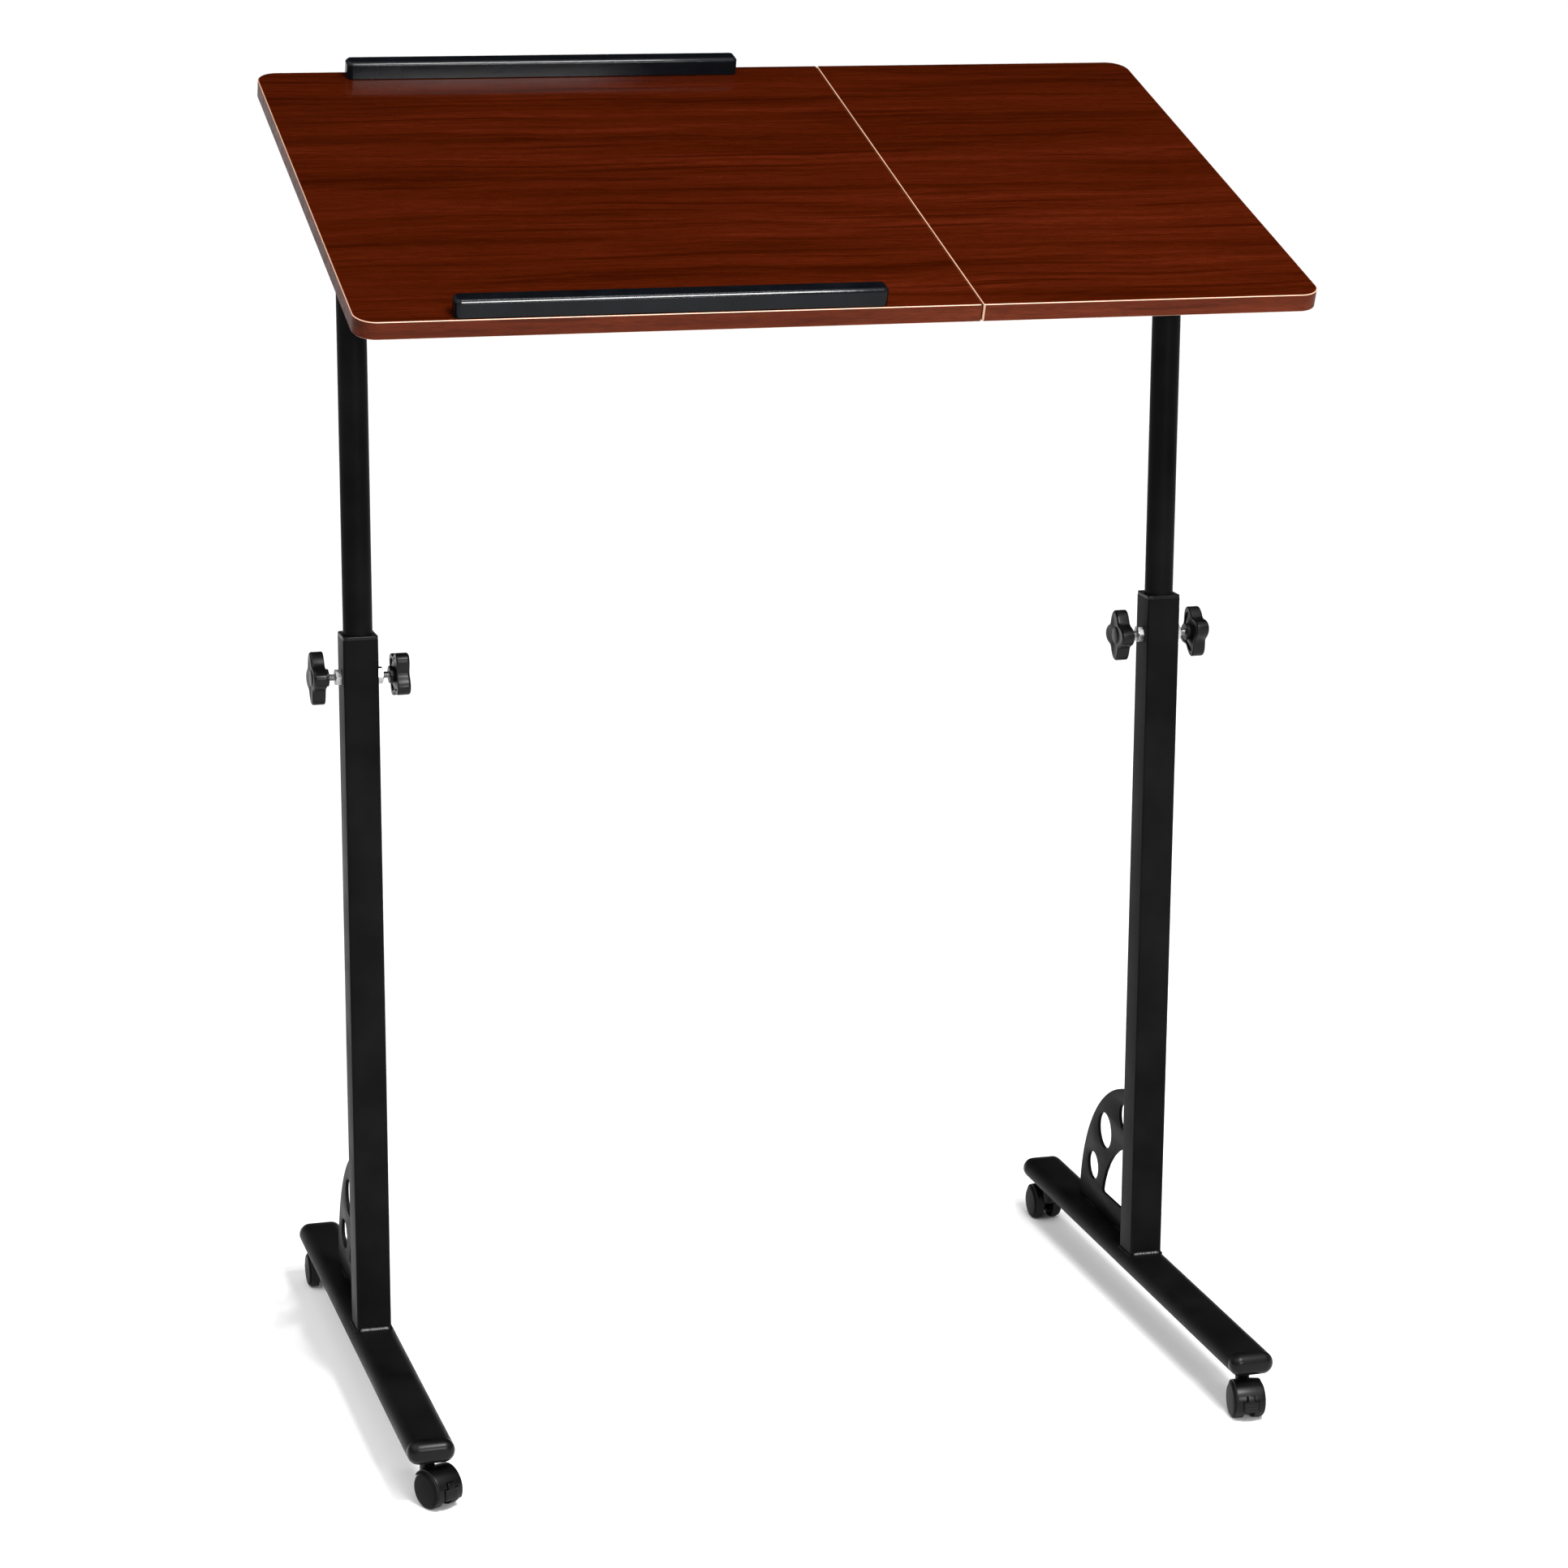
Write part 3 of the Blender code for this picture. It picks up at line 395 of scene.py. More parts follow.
def wood_finish(name, browns, gloss, sheen):
    """Browns are the ramp's colours from dark to light, and gloss is the roughness range."""
    made, tree, shader, place = new_finish(name)
    along = swaying(tree, place)
    ribbons, streaks, fibres = (grain(tree, along, **layer) for layer in (RIBBONS, STREAKS, FIBRES))
    tone = 0.0
    for layer, share in zip((ribbons, streaks, fibres), TONE_SHARES):
        tone = maths(tree, "MULTIPLY_ADD", layer, share, tone)
    brown = blend_colours(tree, tone, list(zip(BROWN_PLACES, browns)))
    for layer, shade in ((DARK_LINES, LINE_SHADE), (PORES, PORE_SHADE)):
        mask = spread(tree, grain(tree, along, **layer), *shade)
        shaded = {"Factor": mask, "A": brown, "B": (*browns[0], 1)}
        brown = wire(tree, "ShaderNodeMix", shaded, 2, data_type="RGBA")
    shader.inputs["Specular IOR Level"].default_value = sheen
    coat(tree, shader, brown, spread(tree, streaks, *gloss), fibres, FIBRE_DEPTH, FIBRE_STRENGTH)
    return made


# %% Wood finishes
MAHOGANY = wood_finish("mahogany_laminate", (
    (0.0162, 0.0017, 0.0001), (0.0268, 0.0031, 0.0004), (0.0336, 0.0039, 0.0007), (0.0470, 0.0058, 0.0015)),
    gloss=(0.09, 0.15), sheen=0.17)
UNDERSIDE = wood_finish("matte_underside", (
    (0.020, 0.0024, 0.0004), (0.033, 0.0042, 0.0008), (0.040, 0.0052, 0.0012), (0.052, 0.0072, 0.0020)),
    gloss=(0.5, 0.62), sheen=0.0)
# The band carries the top's own wood print, but its lighter tint is painted light, standing in for the light
# on the band's upright face; its lower gloss is real.
EDGE_PRINT_PAINTED_LIGHTER = wood_finish("mahogany_edge_print_painted_lighter", (
    (0.0292, 0.0043, 0.0009), (0.0470, 0.0072, 0.0017), (0.0583, 0.0093, 0.0024), (0.0778, 0.0138, 0.0040)),
    gloss=(0.34, 0.46), sheen=0.06)

# %% [markdown]
# ### Trimmed edge of the band
# The band is a thin plastic strip with the wood print on its face. Where it is trimmed flush with the board,
# its raw peach-coloured body shows as a fine light line round the top.

# %% Raw band
RAW_TINTS = [(0.3, (0.36, 0.20, 0.13)), (0.7, (0.46, 0.27, 0.18))]
RAW_BAND = patchy_finish("raw_edge_band", RAW_TINTS, gloss=(0.4, 0.55), patch=0.02, grain_size=0.0007,
                         depth=0.00003)
print("wood finishes:", [made.name for made in (MAHOGANY, UNDERSIDE, EDGE_PRINT_PAINTED_LIGHTER, RAW_BAND)])

# %% [markdown]
# ## Shapes from outlines
# Nearly everything on the table is a stack of outlines: a post, a cap, a stop bar, a knob. One function skins
# a stack of rings, and a few others draw the rings. Rounded edges are simply more rings near the edge.

# %% Outlines
FINE_STEPS = 64
BOX_STEPS = 8
ROUND_STEPS = 6


def arc(centre, radius, start, end, steps):
    """Points along an arc, ends included, angles in degrees."""
    angles = [radians(start + (end - start) * i / steps) for i in range(steps + 1)]
    return [(centre[0] + radius * cos(a), centre[1] + radius * sin(a)) for a in angles]


def circle(radius, steps=FINE_STEPS, centre=(0, 0)):
    return arc(centre, radius, 0, 360 - 360 / steps, steps - 1)


def rounded_box(low, high, radii, steps=BOX_STEPS):
    """A rectangle with a radius for each corner: near left, near right, far right, far left."""
    near_left, near_right, far_right, far_left = radii
    points = arc((low[0] + near_left, low[1] + near_left), near_left, 180, 270, steps)
    points += arc((high[0] - near_right, low[1] + near_right), near_right, 270, 360, steps)
    points += arc((high[0] - far_right, high[1] - far_right), far_right, 0, 90, steps)
    points += arc((low[0] + far_left, high[1] - far_left), far_left, 90, 180, steps)
    return points


def polar(reach, steps=FINE_STEPS):
    """An outline with its points at even angles, each as far out as reach(angle)."""
    angles = [tau * i / steps for i in range(steps)]
    return [(reach(a) * cos(a), reach(a) * sin(a)) for a in angles]


def lifted(outline, z):
    return [(x, y, z) for x, y in outline]


def rounded_rings(outline, radius, level, start, end, steps=ROUND_STEPS):
    """Rings that round an edge: outline(inset) follows an arc whose centre lies at this level."""
    turn = arc((0, 0), radius, start, end, steps)
    return [lifted(outline(radius - reach), level + rise) for reach, rise in turn]


# %% Skins
SAME_POINT = 1e-6


def mesh_from(work):
    """Closes up a working mesh, faces it outwards and hands it on."""
    bmesh.ops.remove_doubles(work, verts=work.verts, dist=SAME_POINT)
    bmesh.ops.recalc_face_normals(work, faces=work.faces)
    mesh = bpy.data.meshes.new("shape")
    work.to_mesh(mesh)
    work.free()
    return mesh


def skin(rings, closed=False):
    """A skin over rings with equal counts. Its ends are filled, unless the last ring joins the first."""
    work = bmesh.new()
    rows = [[work.verts.new(point) for point in ring] for ring in rings]
    for low, high in zip(rows, rows[1:] + rows[:1] if closed else rows[1:]):
        for i in range(len(low)):
            j = (i + 1) % len(low)
            work.faces.new((low[i], low[j], high[j], high[i]))
    if not closed:
        work.faces.new(reversed(rows[0]))
        work.faces.new(rows[-1])
    return mesh_from(work)


def pipe(outside, inside, low, high):
    """A straight tube between two heights."""
    rings = [lifted(outside, low), lifted(outside, high), lifted(inside, high), lifted(inside, low)]
    return skin(rings, closed=True)


def turned(profile, steps=FINE_STEPS):
    """A profile of (radius, height) turned about Z. It starts and ends on the axis, or closes on itself."""
    rings = [lifted(circle(max(radius, 0.0), steps), z) for radius, z in profile]
    return skin(rings, closed=min(profile[0][0], profile[-1][0]) > 0)


# %% Pieces
SHARP_EDGE = 38.0


def second_finish(mesh, chosen):
    """Gives the second finish to the faces that a test picks."""
    for face in mesh.polygons:
        face.material_index = int(chosen(face))
    return mesh


def add_piece(name, mesh, finishes, body, stands_for=(), place=WORLD):
    """Places a mesh on the table, hangs it on its body's empty, and hides the solids it stands for."""
    mesh.transform(place)
    mesh.name = name
    for finish in finishes[len(mesh.materials):]:
        mesh.materials.append(finish)
    mesh.shade_smooth()
    mesh.set_sharp_from_angle(angle=radians(SHARP_EDGE))
    made = add_object(name, mesh)
    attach(made, body)
    if stands_for:
        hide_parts(*stands_for)
    return made


# %% [markdown]
# ## Leaves of the top
# Each leaf is a board with a plastic band glued round it. Outer corners are round in plan, and the corners at
# the seam are nearly square. Board and band are skins over the same outline, drawn in by different amounts.

# %% Outline of a leaf
LEAF_CORNER = 0.018
SEAM_CORNER = 0.0016
GLUE_LINE = 0.00005
SEAM_GAP = 0.0008
CORNER_STEPS = 12
LEAF_BODY = {"left": "left_leaf", "right": "right_leaf"}


def leaf_corners(side):
    """A leaf's corners, with the seam drawn to a fine gap."""
    low, high = box_in(f"edge_band_{side}", LEAF)
    middle = (box_in("edge_band_left", LEAF)[1].x + box_in("edge_band_right", LEAF)[0].x) / 2
    if side == "left":
        high.x = middle - SEAM_GAP / 2
    else:
        low.x = middle + SEAM_GAP / 2
    return low, high


def leaf_outline(side, inset):
    low, high = leaf_corners(side)
    outer, seam = LEAF_CORNER - inset, max(SEAM_CORNER - inset, GLUE_LINE)
    radii = (outer, seam, seam, outer) if side == "left" else (seam, outer, outer, seam)
    return rounded_box((low.x + inset, low.y + inset), (high.x - inset, high.y - inset), radii, CORNER_STEPS)


# %% Boards and edge bands
BAND = 0.0012
TRIM = 0.0006
TRIM_DROP = 0.0005
FACING_DOWN = -0.9
LEVEL = 0.99
TRIM_SLOPE = 0.2
CORNER_TURN = 0.1


def board_mesh(side):
    """A flat board whose lower face gets the second finish."""
    outline = leaf_outline(side, BAND + GLUE_LINE)
    board = skin([lifted(outline, leaf_low.z), lifted(outline, leaf_high.z)])
    return second_finish(board, lambda face: face.normal.z < FACING_DOWN)


def band_mesh(side):
    """A ring of plastic whose trimmed edges get the second finish, but for the left side of the seam."""
    low, high = leaf_low.z, leaf_high.z
    section = [(0, low + TRIM_DROP), (0, high - TRIM_DROP), (TRIM, high)]
    section += [(BAND, high), (BAND, low), (TRIM, low)]
    band = skin([lifted(leaf_outline(side, inset), z) for inset, z in section], closed=True)
    outer_low, outer_high = leaf_corners(side)
    seam = outer_high.x if side == "left" else outer_low.x

    def trimmed(face):
        at_seam = abs(face.center.x - seam) < SEAM_CORNER
        cut_corner = at_seam and CORNER_TURN < abs(face.normal.x) < LEVEL
        sloped = TRIM_SLOPE < abs(face.normal.z) < LEVEL
        return (cut_corner or sloped) and not (at_seam and side == "left")

    return second_finish(band, trimmed)


for side in SIDES:
    add_piece(f"board_{side}", board_mesh(side), [MAHOGANY, UNDERSIDE], LEAF_BODY[side],
              [f"panel_{side}"], LEAF)
    add_piece(f"band_{side}", band_mesh(side), [EDGE_PRINT_PAINTED_LIGHTER, RAW_BAND], LEAF_BODY[side],
              [f"edge_band_{side}"], LEAF)
    low, high = box_in(f"edge_band_{side}", LEAF)
    print(f"{side} leaf {1000 * (high.x - low.x):.0f} x {1000 * (high.y - low.y):.0f} mm")

# %% [markdown]
# ## Stop bars
# Two glossy black bars stop a laptop from sliding off, whichever way the leaf is turned. They are moulded:
# each top edge is a crowned facet between two small rounds, which draws one crisp line of light, and the foot
# has a fine chamfer that draws a dark line.

# %% Stop bars
STOP_CORNER = 0.005
STOP_FOOT = 0.0004
STOP_BENDS = ((0.0014, 0, 41), (0.018, 41, 49), (0.0014, 49, 90))


def edge_path(bends):
    """The (inset, rise) of an edge that turns from upright to level through arcs of (radius, from, to)."""
    path = [(0.0, 0.0)]
    for radius, start, end in bends:
        turn = arc((0, 0), radius, start, end, ROUND_STEPS)
        inset, rise = path[-1]
        path += [(inset + turn[0][0] - x, rise + y - turn[0][1]) for x, y in turn[1:]]
    return path


def stop_mesh(low, high):
    def ring(inset, z):
        radius = max(STOP_CORNER - inset, STOP_FOOT)
        near, far = (low.x + inset, low.y + inset), (high.x - inset, high.y - inset)
        return lifted(rounded_box(near, far, (radius,) * 4), z)

    edge = edge_path(STOP_BENDS)
    rings = [ring(STOP_FOOT, low.z), ring(0, low.z + STOP_FOOT)]
    rings += [ring(inset, high.z - edge[-1][1] + rise) for inset, rise in edge]
    return skin(rings)


for end in ("front", "rear"):
    low, high = box_in(f"{end}_stop", LEAF)
    add_piece(f"{end}_stop_bar", stop_mesh(low, high), [GLOSSY], "left_leaf",
              [f"{end}_stop"], LEAF)
    print(f"{end} stop {1000 * (high.x - low.x):.0f} mm long")

# %% [markdown]
# ## Posts, tubes and beam
# The outer post is a square steel tube, and a round tube slides in it. On top, each round tube is notched to
# sit round the cross beam. The notch is a rule, so the top ring of the tube simply follows the beam's curve.

# %% Square posts and round tubes
TUBE_WALL = 0.0012
POST_CORNER = 0.0025
NOTCH_GAP = 0.0001
beam_low, beam_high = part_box("cross_beam")
BEAM_RADIUS = (beam_high.z - beam_low.z) / 2
BEAM_HEIGHT = (beam_high.z + beam_low.z) / 2


def square_outline(side_length, radius):
    half = side_length / 2
    return rounded_box((-half, -half), (half, half), (radius,) * 4)


def post_mesh(side_length, low, high):
    inside = square_outline(side_length - 2 * TUBE_WALL, POST_CORNER - TUBE_WALL)
    return pipe(square_outline(side_length, POST_CORNER), inside, low, high)


def notched(radius):
    """The round tube's top ring, lowered to lie on the beam."""
    reach = BEAM_RADIUS + NOTCH_GAP
    return [(x, y, BEAM_HEIGHT - sqrt(max(reach ** 2 - y ** 2, 0))) for x, y in circle(radius)]


def inner_tube_mesh(radius, low):
    inside = radius - TUBE_WALL
    rings = [lifted(circle(radius), low), notched(radius), notched(inside), lifted(circle(inside), low)]
    return skin(rings, closed=True)


POST_SPOT = {}
for side in SIDES:
    low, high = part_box(f"outer_post_{side}")
    POST_SIDE = high.y - low.y
    POST_SPOT[side] = Matrix.Translation(((low.x + high.x) / 2, 0, 0))
    add_piece(f"square_post_{side}", post_mesh(POST_SIDE, low.z, high.z), [POWDER], "base",
              [f"outer_post_{side}"], POST_SPOT[side])
    low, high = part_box(f"inner_tube_{side}")
    TUBE_RADIUS = (high.y - low.y) / 2
    add_piece(f"round_tube_{side}", inner_tube_mesh(TUBE_RADIUS, low.z), [POWDER], "rising_frame",
              [f"inner_tube_{side}"], POST_SPOT[side])
print(f"posts {1000 * POST_SIDE:.0f} mm square, tubes {2000 * TUBE_RADIUS:.0f} mm round")

# %% [markdown]
# ## Cross beam and its plugs
# The beam is a plain round tube, closed by plastic plugs with a domed head and a fine lip.

# %% Beam and end plugs
BEAM_WALL = 0.0015
PLUG_DOME = 0.0012
PLUG_LIP = 0.0003
PLUG_EDGE_TURN = 80


def plug_mesh(length, head):
    """Z points out of the beam, with the head's outer face at zero."""
    plug = BEAM_RADIUS - BEAM_WALL - PLUG_LIP
    edge = (BEAM_RADIUS - head / 2, -head / 2 - PLUG_DOME / 2)
    profile = [(0, -length), (plug, -length), (plug, -head), (BEAM_RADIUS, -head)]
    profile += arc(edge, head / 2, 0, PLUG_EDGE_TURN, ROUND_STEPS)
    profile += [(BEAM_RADIUS / 2, -PLUG_DOME / 4), (0, 0)]
    return turned(profile)


beam = pipe(circle(BEAM_RADIUS), circle(BEAM_RADIUS - BEAM_WALL), -beam_high.x, beam_high.x)
add_piece("beam_tube", beam, [POWDER], "rising_frame", ["cross_beam"],
          axes(Vector((0, 0, BEAM_HEIGHT)), -UP, ALONG_X))
for side, outward in zip(SIDES, (-ALONG_X, ALONG_X)):
    low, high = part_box(f"beam_plug_{side}")
    length = high.x - low.x
    head = length - (beam_high.x - min(abs(low.x), abs(high.x)))
    outer = max(abs(low.x), abs(high.x)) * outward + Vector((0, 0, BEAM_HEIGHT))
    add_piece(f"beam_end_plug_{side}", plug_mesh(length, head), [PLASTIC], "rising_frame",
              [f"beam_plug_{side}"], axes(outer, UP, outward))
print(f"beam {2000 * BEAM_RADIUS:.0f} mm round, {2000 * beam_high.x:.0f} mm long")

# %% [markdown]
# ## Collars
# A plastic bush sits in the mouth of each square post and guides the round tube. Its head is square outside
# and round inside, so the skin runs from a square ring to a circle with the same count of points.

# %% Post collars
COLLAR_HEAD_SHARE = 1 / 7
COLLAR_ROUND = 0.0008
BORE_GAP = 0.0003
BORE_CHAMFER = 0.0007


def square_ring(side_length, radius):
    """A rounded square with its points at even angles, to pair with a circle."""
    half = side_length / 2
    corner = half - radius

    def reach(angle):
        c, s = abs(cos(angle)), abs(sin(angle))
        straight = half / max(c, s)
        if min(c, s) * straight <= corner:
            return straight
        along = corner * (c + s)
        return along + sqrt(max(along ** 2 - 2 * corner ** 2 + radius ** 2, 0))

    return polar(reach)


def collar_mesh(low, high):
    def head(inset):
        return square_ring(POST_SIDE - 2 * inset, POST_CORNER - inset)

    head_low = high - (high - low) * COLLAR_HEAD_SHARE
    sleeve = square_ring(POST_SIDE - 2 * TUBE_WALL - 2 * BORE_GAP, POST_CORNER - TUBE_WALL)
    bore = TUBE_RADIUS + BORE_GAP
    rings = [lifted(sleeve, low), lifted(sleeve, head_low), lifted(head(0), head_low)]
    rings += rounded_rings(head, COLLAR_ROUND, high - COLLAR_ROUND, 0, 90)
    rings += [lifted(circle(bore + BORE_CHAMFER), high), lifted(circle(bore), high - BORE_CHAMFER)]
    rings.append(lifted(circle(bore), low))
    return skin(rings, closed=True)


for side in SIDES:
    low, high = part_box(f"post_collar_{side}")
    add_piece(f"guide_bush_{side}", collar_mesh(low.z, high.z), [PLASTIC], "base",
              [f"post_collar_{side}"], POST_SPOT[side])
print(f"collars {1000 * (high.z - low.z):.0f} mm tall")

# %% [markdown]
# ## Feet and their caps
# The feet are flat-oval tubes. Their plastic caps carry the casters: the face bulges, and a chamfer where the
# cap meets the tube leaves the fine joint line that shows in the photo.

# %% Feet and caps
FOOT_WALL = 0.0015
CAP_ROUND = 0.0085
CAP_CHAMFER = 0.0005
OVAL_STEPS = 16


def flat_oval(width, height, inset=0.0):
    """A flat oval, drawn in by an inset."""
    radius = height / 2 - inset
    end = (width - height) / 2
    return arc((end, 0), radius, -90, 90, OVAL_STEPS) + arc((-end, 0), radius, 90, 270, OVAL_STEPS)


def cap_mesh(width, height, head, plug):
    """Z points out of the tube, from the tube's end."""
    def oval(inset):
        return flat_oval(width, height, inset)

    neck = oval(FOOT_WALL + CAP_CHAMFER)
    rings = [lifted(neck, -plug), lifted(neck, 0), lifted(oval(CAP_CHAMFER), 0), lifted(oval(0), CAP_CHAMFER)]
    return skin(rings + rounded_rings(oval, CAP_ROUND, head - CAP_ROUND, 0, 90, 2 * ROUND_STEPS))


for side in SIDES:
    low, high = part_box(f"foot_tube_{side}")
    FOOT_TOP = high.z
    size = high - low
    middle = (low + high) / 2
    half = size.y / 2
    foot = pipe(flat_oval(size.x, size.z), flat_oval(size.x, size.z, FOOT_WALL), -half, half)
    add_piece(f"foot_{side}", foot, [POWDER], "base", [f"foot_tube_{side}"],
              axes(middle, ALONG_X, Vector((0, -1, 0))))
    for end, toward in (("front", -1), ("rear", 1)):
        cap_low, cap_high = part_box(f"foot_cap_{side}_{end}")
        head = max(abs(cap_low.y), abs(cap_high.y)) - half
        plug = (cap_high.y - cap_low.y) - head
        place = axes(Vector((middle.x, toward * half, middle.z)), ALONG_X, Vector((0, toward, 0)))
        add_piece(f"foot_end_{side}_{end}", cap_mesh(size.x, size.z, head, plug), [PLASTIC], "base",
                  [f"foot_cap_{side}_{end}"], place)
print(f"feet {1000 * size.x:.0f} x {1000 * size.z:.0f} mm, top at {1000 * FOOT_TOP:.1f} mm")

# %% [markdown]
# ## Gusset plates
# A thin quarter disc stiffens the corner behind each post. It is punched with three round holes and one
# three-cornered opening. A flat curve with holes, drawn out with a small round on its edges, is the shortest
# way to a punched plate.

# %% A plate with holes
DRAWN_ALONG_X = Matrix(((0, 0, 1, 0), (1, 0, 0, 0), (0, 1, 0, 0), (0, 0, 0, 1)))
NEARLY_STRAIGHT = 160.0


def plate_mesh(loops, thickness, rounding=0.0):
    """The first loop of (y, z) with the others as holes, drawn out along X, its edges rounded."""
    curve = bpy.data.curves.new("plate", "CURVE")
    curve.dimensions = "2D"
    curve.fill_mode = "BOTH"
    curve.extrude = thickness / 2 - rounding
    curve.bevel_depth = rounding
    curve.bevel_resolution = 2
    curve.offset = -rounding
    for loop in loops:
        spline = curve.splines.new("POLY")
        spline.points.add(len(loop) - 1)
        spline.use_cyclic_u = True
        for point, (y, z) in zip(spline.points, loop):
            point.co = (y, z, 0, 1)
    work = bmesh.new()
    work.from_mesh(plain_mesh(add_object("plate", curve)))
    made = mesh_from(work)
    made.transform(DRAWN_ALONG_X)
    return made


def filleted(points, radius):
    """Rounds each corner of a polygon by cutting it with an arc-like curve through its two neighbours."""
    rounded = []
    for i, point in enumerate(points):
        here = Vector(point)
        before = Vector(points[i - 1]) - here
        after = Vector(points[(i + 1) % len(points)]) - here
        if before.angle(after) > radians(NEARLY_STRAIGHT):
            rounded.append(point)
            continue
        reach = min(radius, before.length / 2, after.length / 2)
        start = here + before.normalized() * reach
        end = here + after.normalized() * reach
        for k in range(ROUND_STEPS + 1):
            t = k / ROUND_STEPS
            rounded.append(tuple(start * (1 - t) ** 2 + here * 2 * t * (1 - t) + end * t ** 2))
    return rounded


# %% Gussets
PUNCH_ROUND = 0.0004
HOLE_CIRCLE = 0.116
HOLES = ((20.0, 0.0135), (46.0, 0.0172), (75.0, 0.0135))
HOLE_STEPS = 36
OPENING_RADIUS = 0.087
OPENING_CORNER = 0.004
OPENING_STEPS = 8
POST_STRIP = 0.010
FOOT_STRIP = 0.022
GUSSET_STEPS = 48


def gusset_loops(radius):
    loops = [[(0, 0)] + arc((0, 0), radius, 0, 90, GUSSET_STEPS)]
    for angle, hole in HOLES:
        centre = (HOLE_CIRCLE * cos(radians(angle)), HOLE_CIRCLE * sin(radians(angle)))
        loops.append(circle(hole, HOLE_STEPS, centre))
    by_foot = Vector((sqrt(OPENING_RADIUS ** 2 - FOOT_STRIP ** 2), FOOT_STRIP))
    by_post = Vector((POST_STRIP, sqrt(OPENING_RADIUS ** 2 - POST_STRIP ** 2)))
    opening = [(POST_STRIP, FOOT_STRIP)]
    for i in range(OPENING_STEPS + 1):
        opening.append(tuple(by_foot.lerp(by_post, i / OPENING_STEPS).normalized() * OPENING_RADIUS))
    return loops + [filleted(opening, OPENING_CORNER)]


for side in SIDES:
    low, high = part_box(f"gusset_{side}")
    thick = high.x - low.x
    add_piece(f"gusset_plate_{side}", plate_mesh(gusset_loops(high.y - low.y), thick, PUNCH_ROUND), [POWDER],
              "base", [f"gusset_{side}"],
              Matrix.Translation(((low.x + high.x) / 2, low.y, low.z)))
print(f"gussets {1000 * thick:.0f} mm thick, {1000 * (high.y - low.y):.0f} mm radius")

# %% [markdown]
# ## Knobs, studs and nuts
# Six black four-lobed knobs lock the height and the tilt. Each is moulded on a zinc-plated stud that runs in
# a hexagon nut. The lobes follow one wave round the circle. The knob is a stack of that wave: a rounded rim,
# a dished face with a button in the middle, and a hollow back round the hub.

# %% Knob shape
KNOB_LOBES = 4
KNOB_STEPS = 96
LOBE_RADIUS = 0.0225
LOBE_VALLEY = 0.0075
STAR_THICKNESS = 0.0115
STAR_ROUND = 0.0022
STAR_WALL = 0.0034
HOLLOW_DRAFT = 0.0004
HOLLOW_FLOOR = 0.0026
HOLLOW_ROUNDNESS = 0.35
FLOOR_ROUNDNESS = 0.65
BACK_HOLLOW = 0.0012
FACE_DISH = 0.0007
DISH_INSET = 0.0032
DISH_ROUNDNESS = 0.25
BUTTON_RADIUS = 0.0072
BUTTON_FLAT = 0.9
BUTTON_GROOVE = 0.0006
HUB_RADIUS = 0.0075
HUB_LENGTH = 0.004
HUB_STEP = 0.001
HUB_EDGE = 0.0005


def lobed(inset, roundness=0.0):
    """The knob's outline, drawn in by an inset, and eased toward a circle by roundness from 0 to 1."""
    mean = LOBE_RADIUS - LOBE_VALLEY / 2

    def reach(angle):
        wave = LOBE_RADIUS - LOBE_VALLEY * (1 - cos(KNOB_LOBES * angle)) / 2
        return wave + (mean - wave) * roundness - inset

    return polar(reach, KNOB_STEPS)


def knob_mesh():
    """Z points out of the knob, with its face's rim at zero."""
    def disc(radius, z):
        return lifted(circle(radius, KNOB_STEPS), z)

    def star(inset, roundness, z):
        return lifted(lobed(inset, roundness), z)

    low = -STAR_THICKNESS
    floor = low + BACK_HOLLOW
    hub = low - HUB_LENGTH
    rings = [disc(0.0, -FACE_DISH / 2), disc(BUTTON_RADIUS * BUTTON_FLAT, -FACE_DISH / 2)]
    rings += [disc(BUTTON_RADIUS, -FACE_DISH), disc(BUTTON_RADIUS + BUTTON_GROOVE, -2 * FACE_DISH)]
    rings.append(star(STAR_ROUND + DISH_INSET, DISH_ROUNDNESS, -FACE_DISH))
    rings += rounded_rings(lobed, STAR_ROUND, -STAR_ROUND, 90, 0)
    rings += rounded_rings(lobed, STAR_ROUND / 2, low + STAR_ROUND / 2, 0, -90)
    rings += [star(STAR_WALL, HOLLOW_ROUNDNESS, low), star(STAR_WALL + HOLLOW_DRAFT, HOLLOW_ROUNDNESS, floor)]
    rings += [star(STAR_WALL + HOLLOW_FLOOR, FLOOR_ROUNDNESS, floor), disc(HUB_RADIUS, low - HUB_STEP)]
    rings += [disc(HUB_RADIUS, hub + HUB_EDGE), disc(HUB_RADIUS - HUB_EDGE, hub), disc(0.0, hub)]
    return skin(rings)


# %% [markdown]
# ### Threads and hexagons
# The stud's radius follows a saw tooth that climbs one pitch in each turn, which is all that a thread is. The
# nut is a hexagon that a shallow cone has trimmed at its corners, which gives its outer face a bright ring.

# %% Threaded studs and chamfered nuts
STUD_RADIUS = 0.003
THREAD_PITCH = 0.001
THREAD_DEPTH = 0.00055
THREAD_ROWS = 6
THREAD_STEPS = 24
NUT_ACROSS = 0.013
NUT_CHAMFER = 30.0
NUT_FACE_SHARE = 0.98
NUT_STEPS = 48
CONE_STEPS = 4


def stud_mesh(low, high):
    def ring(z):
        def reach(angle):
            phase = (z / THREAD_PITCH - angle / tau) % 1.0
            return STUD_RADIUS - THREAD_DEPTH * abs(2 * phase - 1)

        return lifted(polar(reach, THREAD_STEPS), z)

    count = round((high - low) / THREAD_PITCH * THREAD_ROWS)
    return skin([ring(low + (high - low) * k / count) for k in range(count + 1)])


def hexagon(z, cone_radius):
    """A hexagon's ring, held inside the cone that chamfers its corners."""
    def reach(angle):
        from_flat = (angle + pi / 6) % (pi / 3) - pi / 6
        return min(NUT_ACROSS / 2 / cos(from_flat), cone_radius)

    return lifted(polar(reach, NUT_STEPS), z)


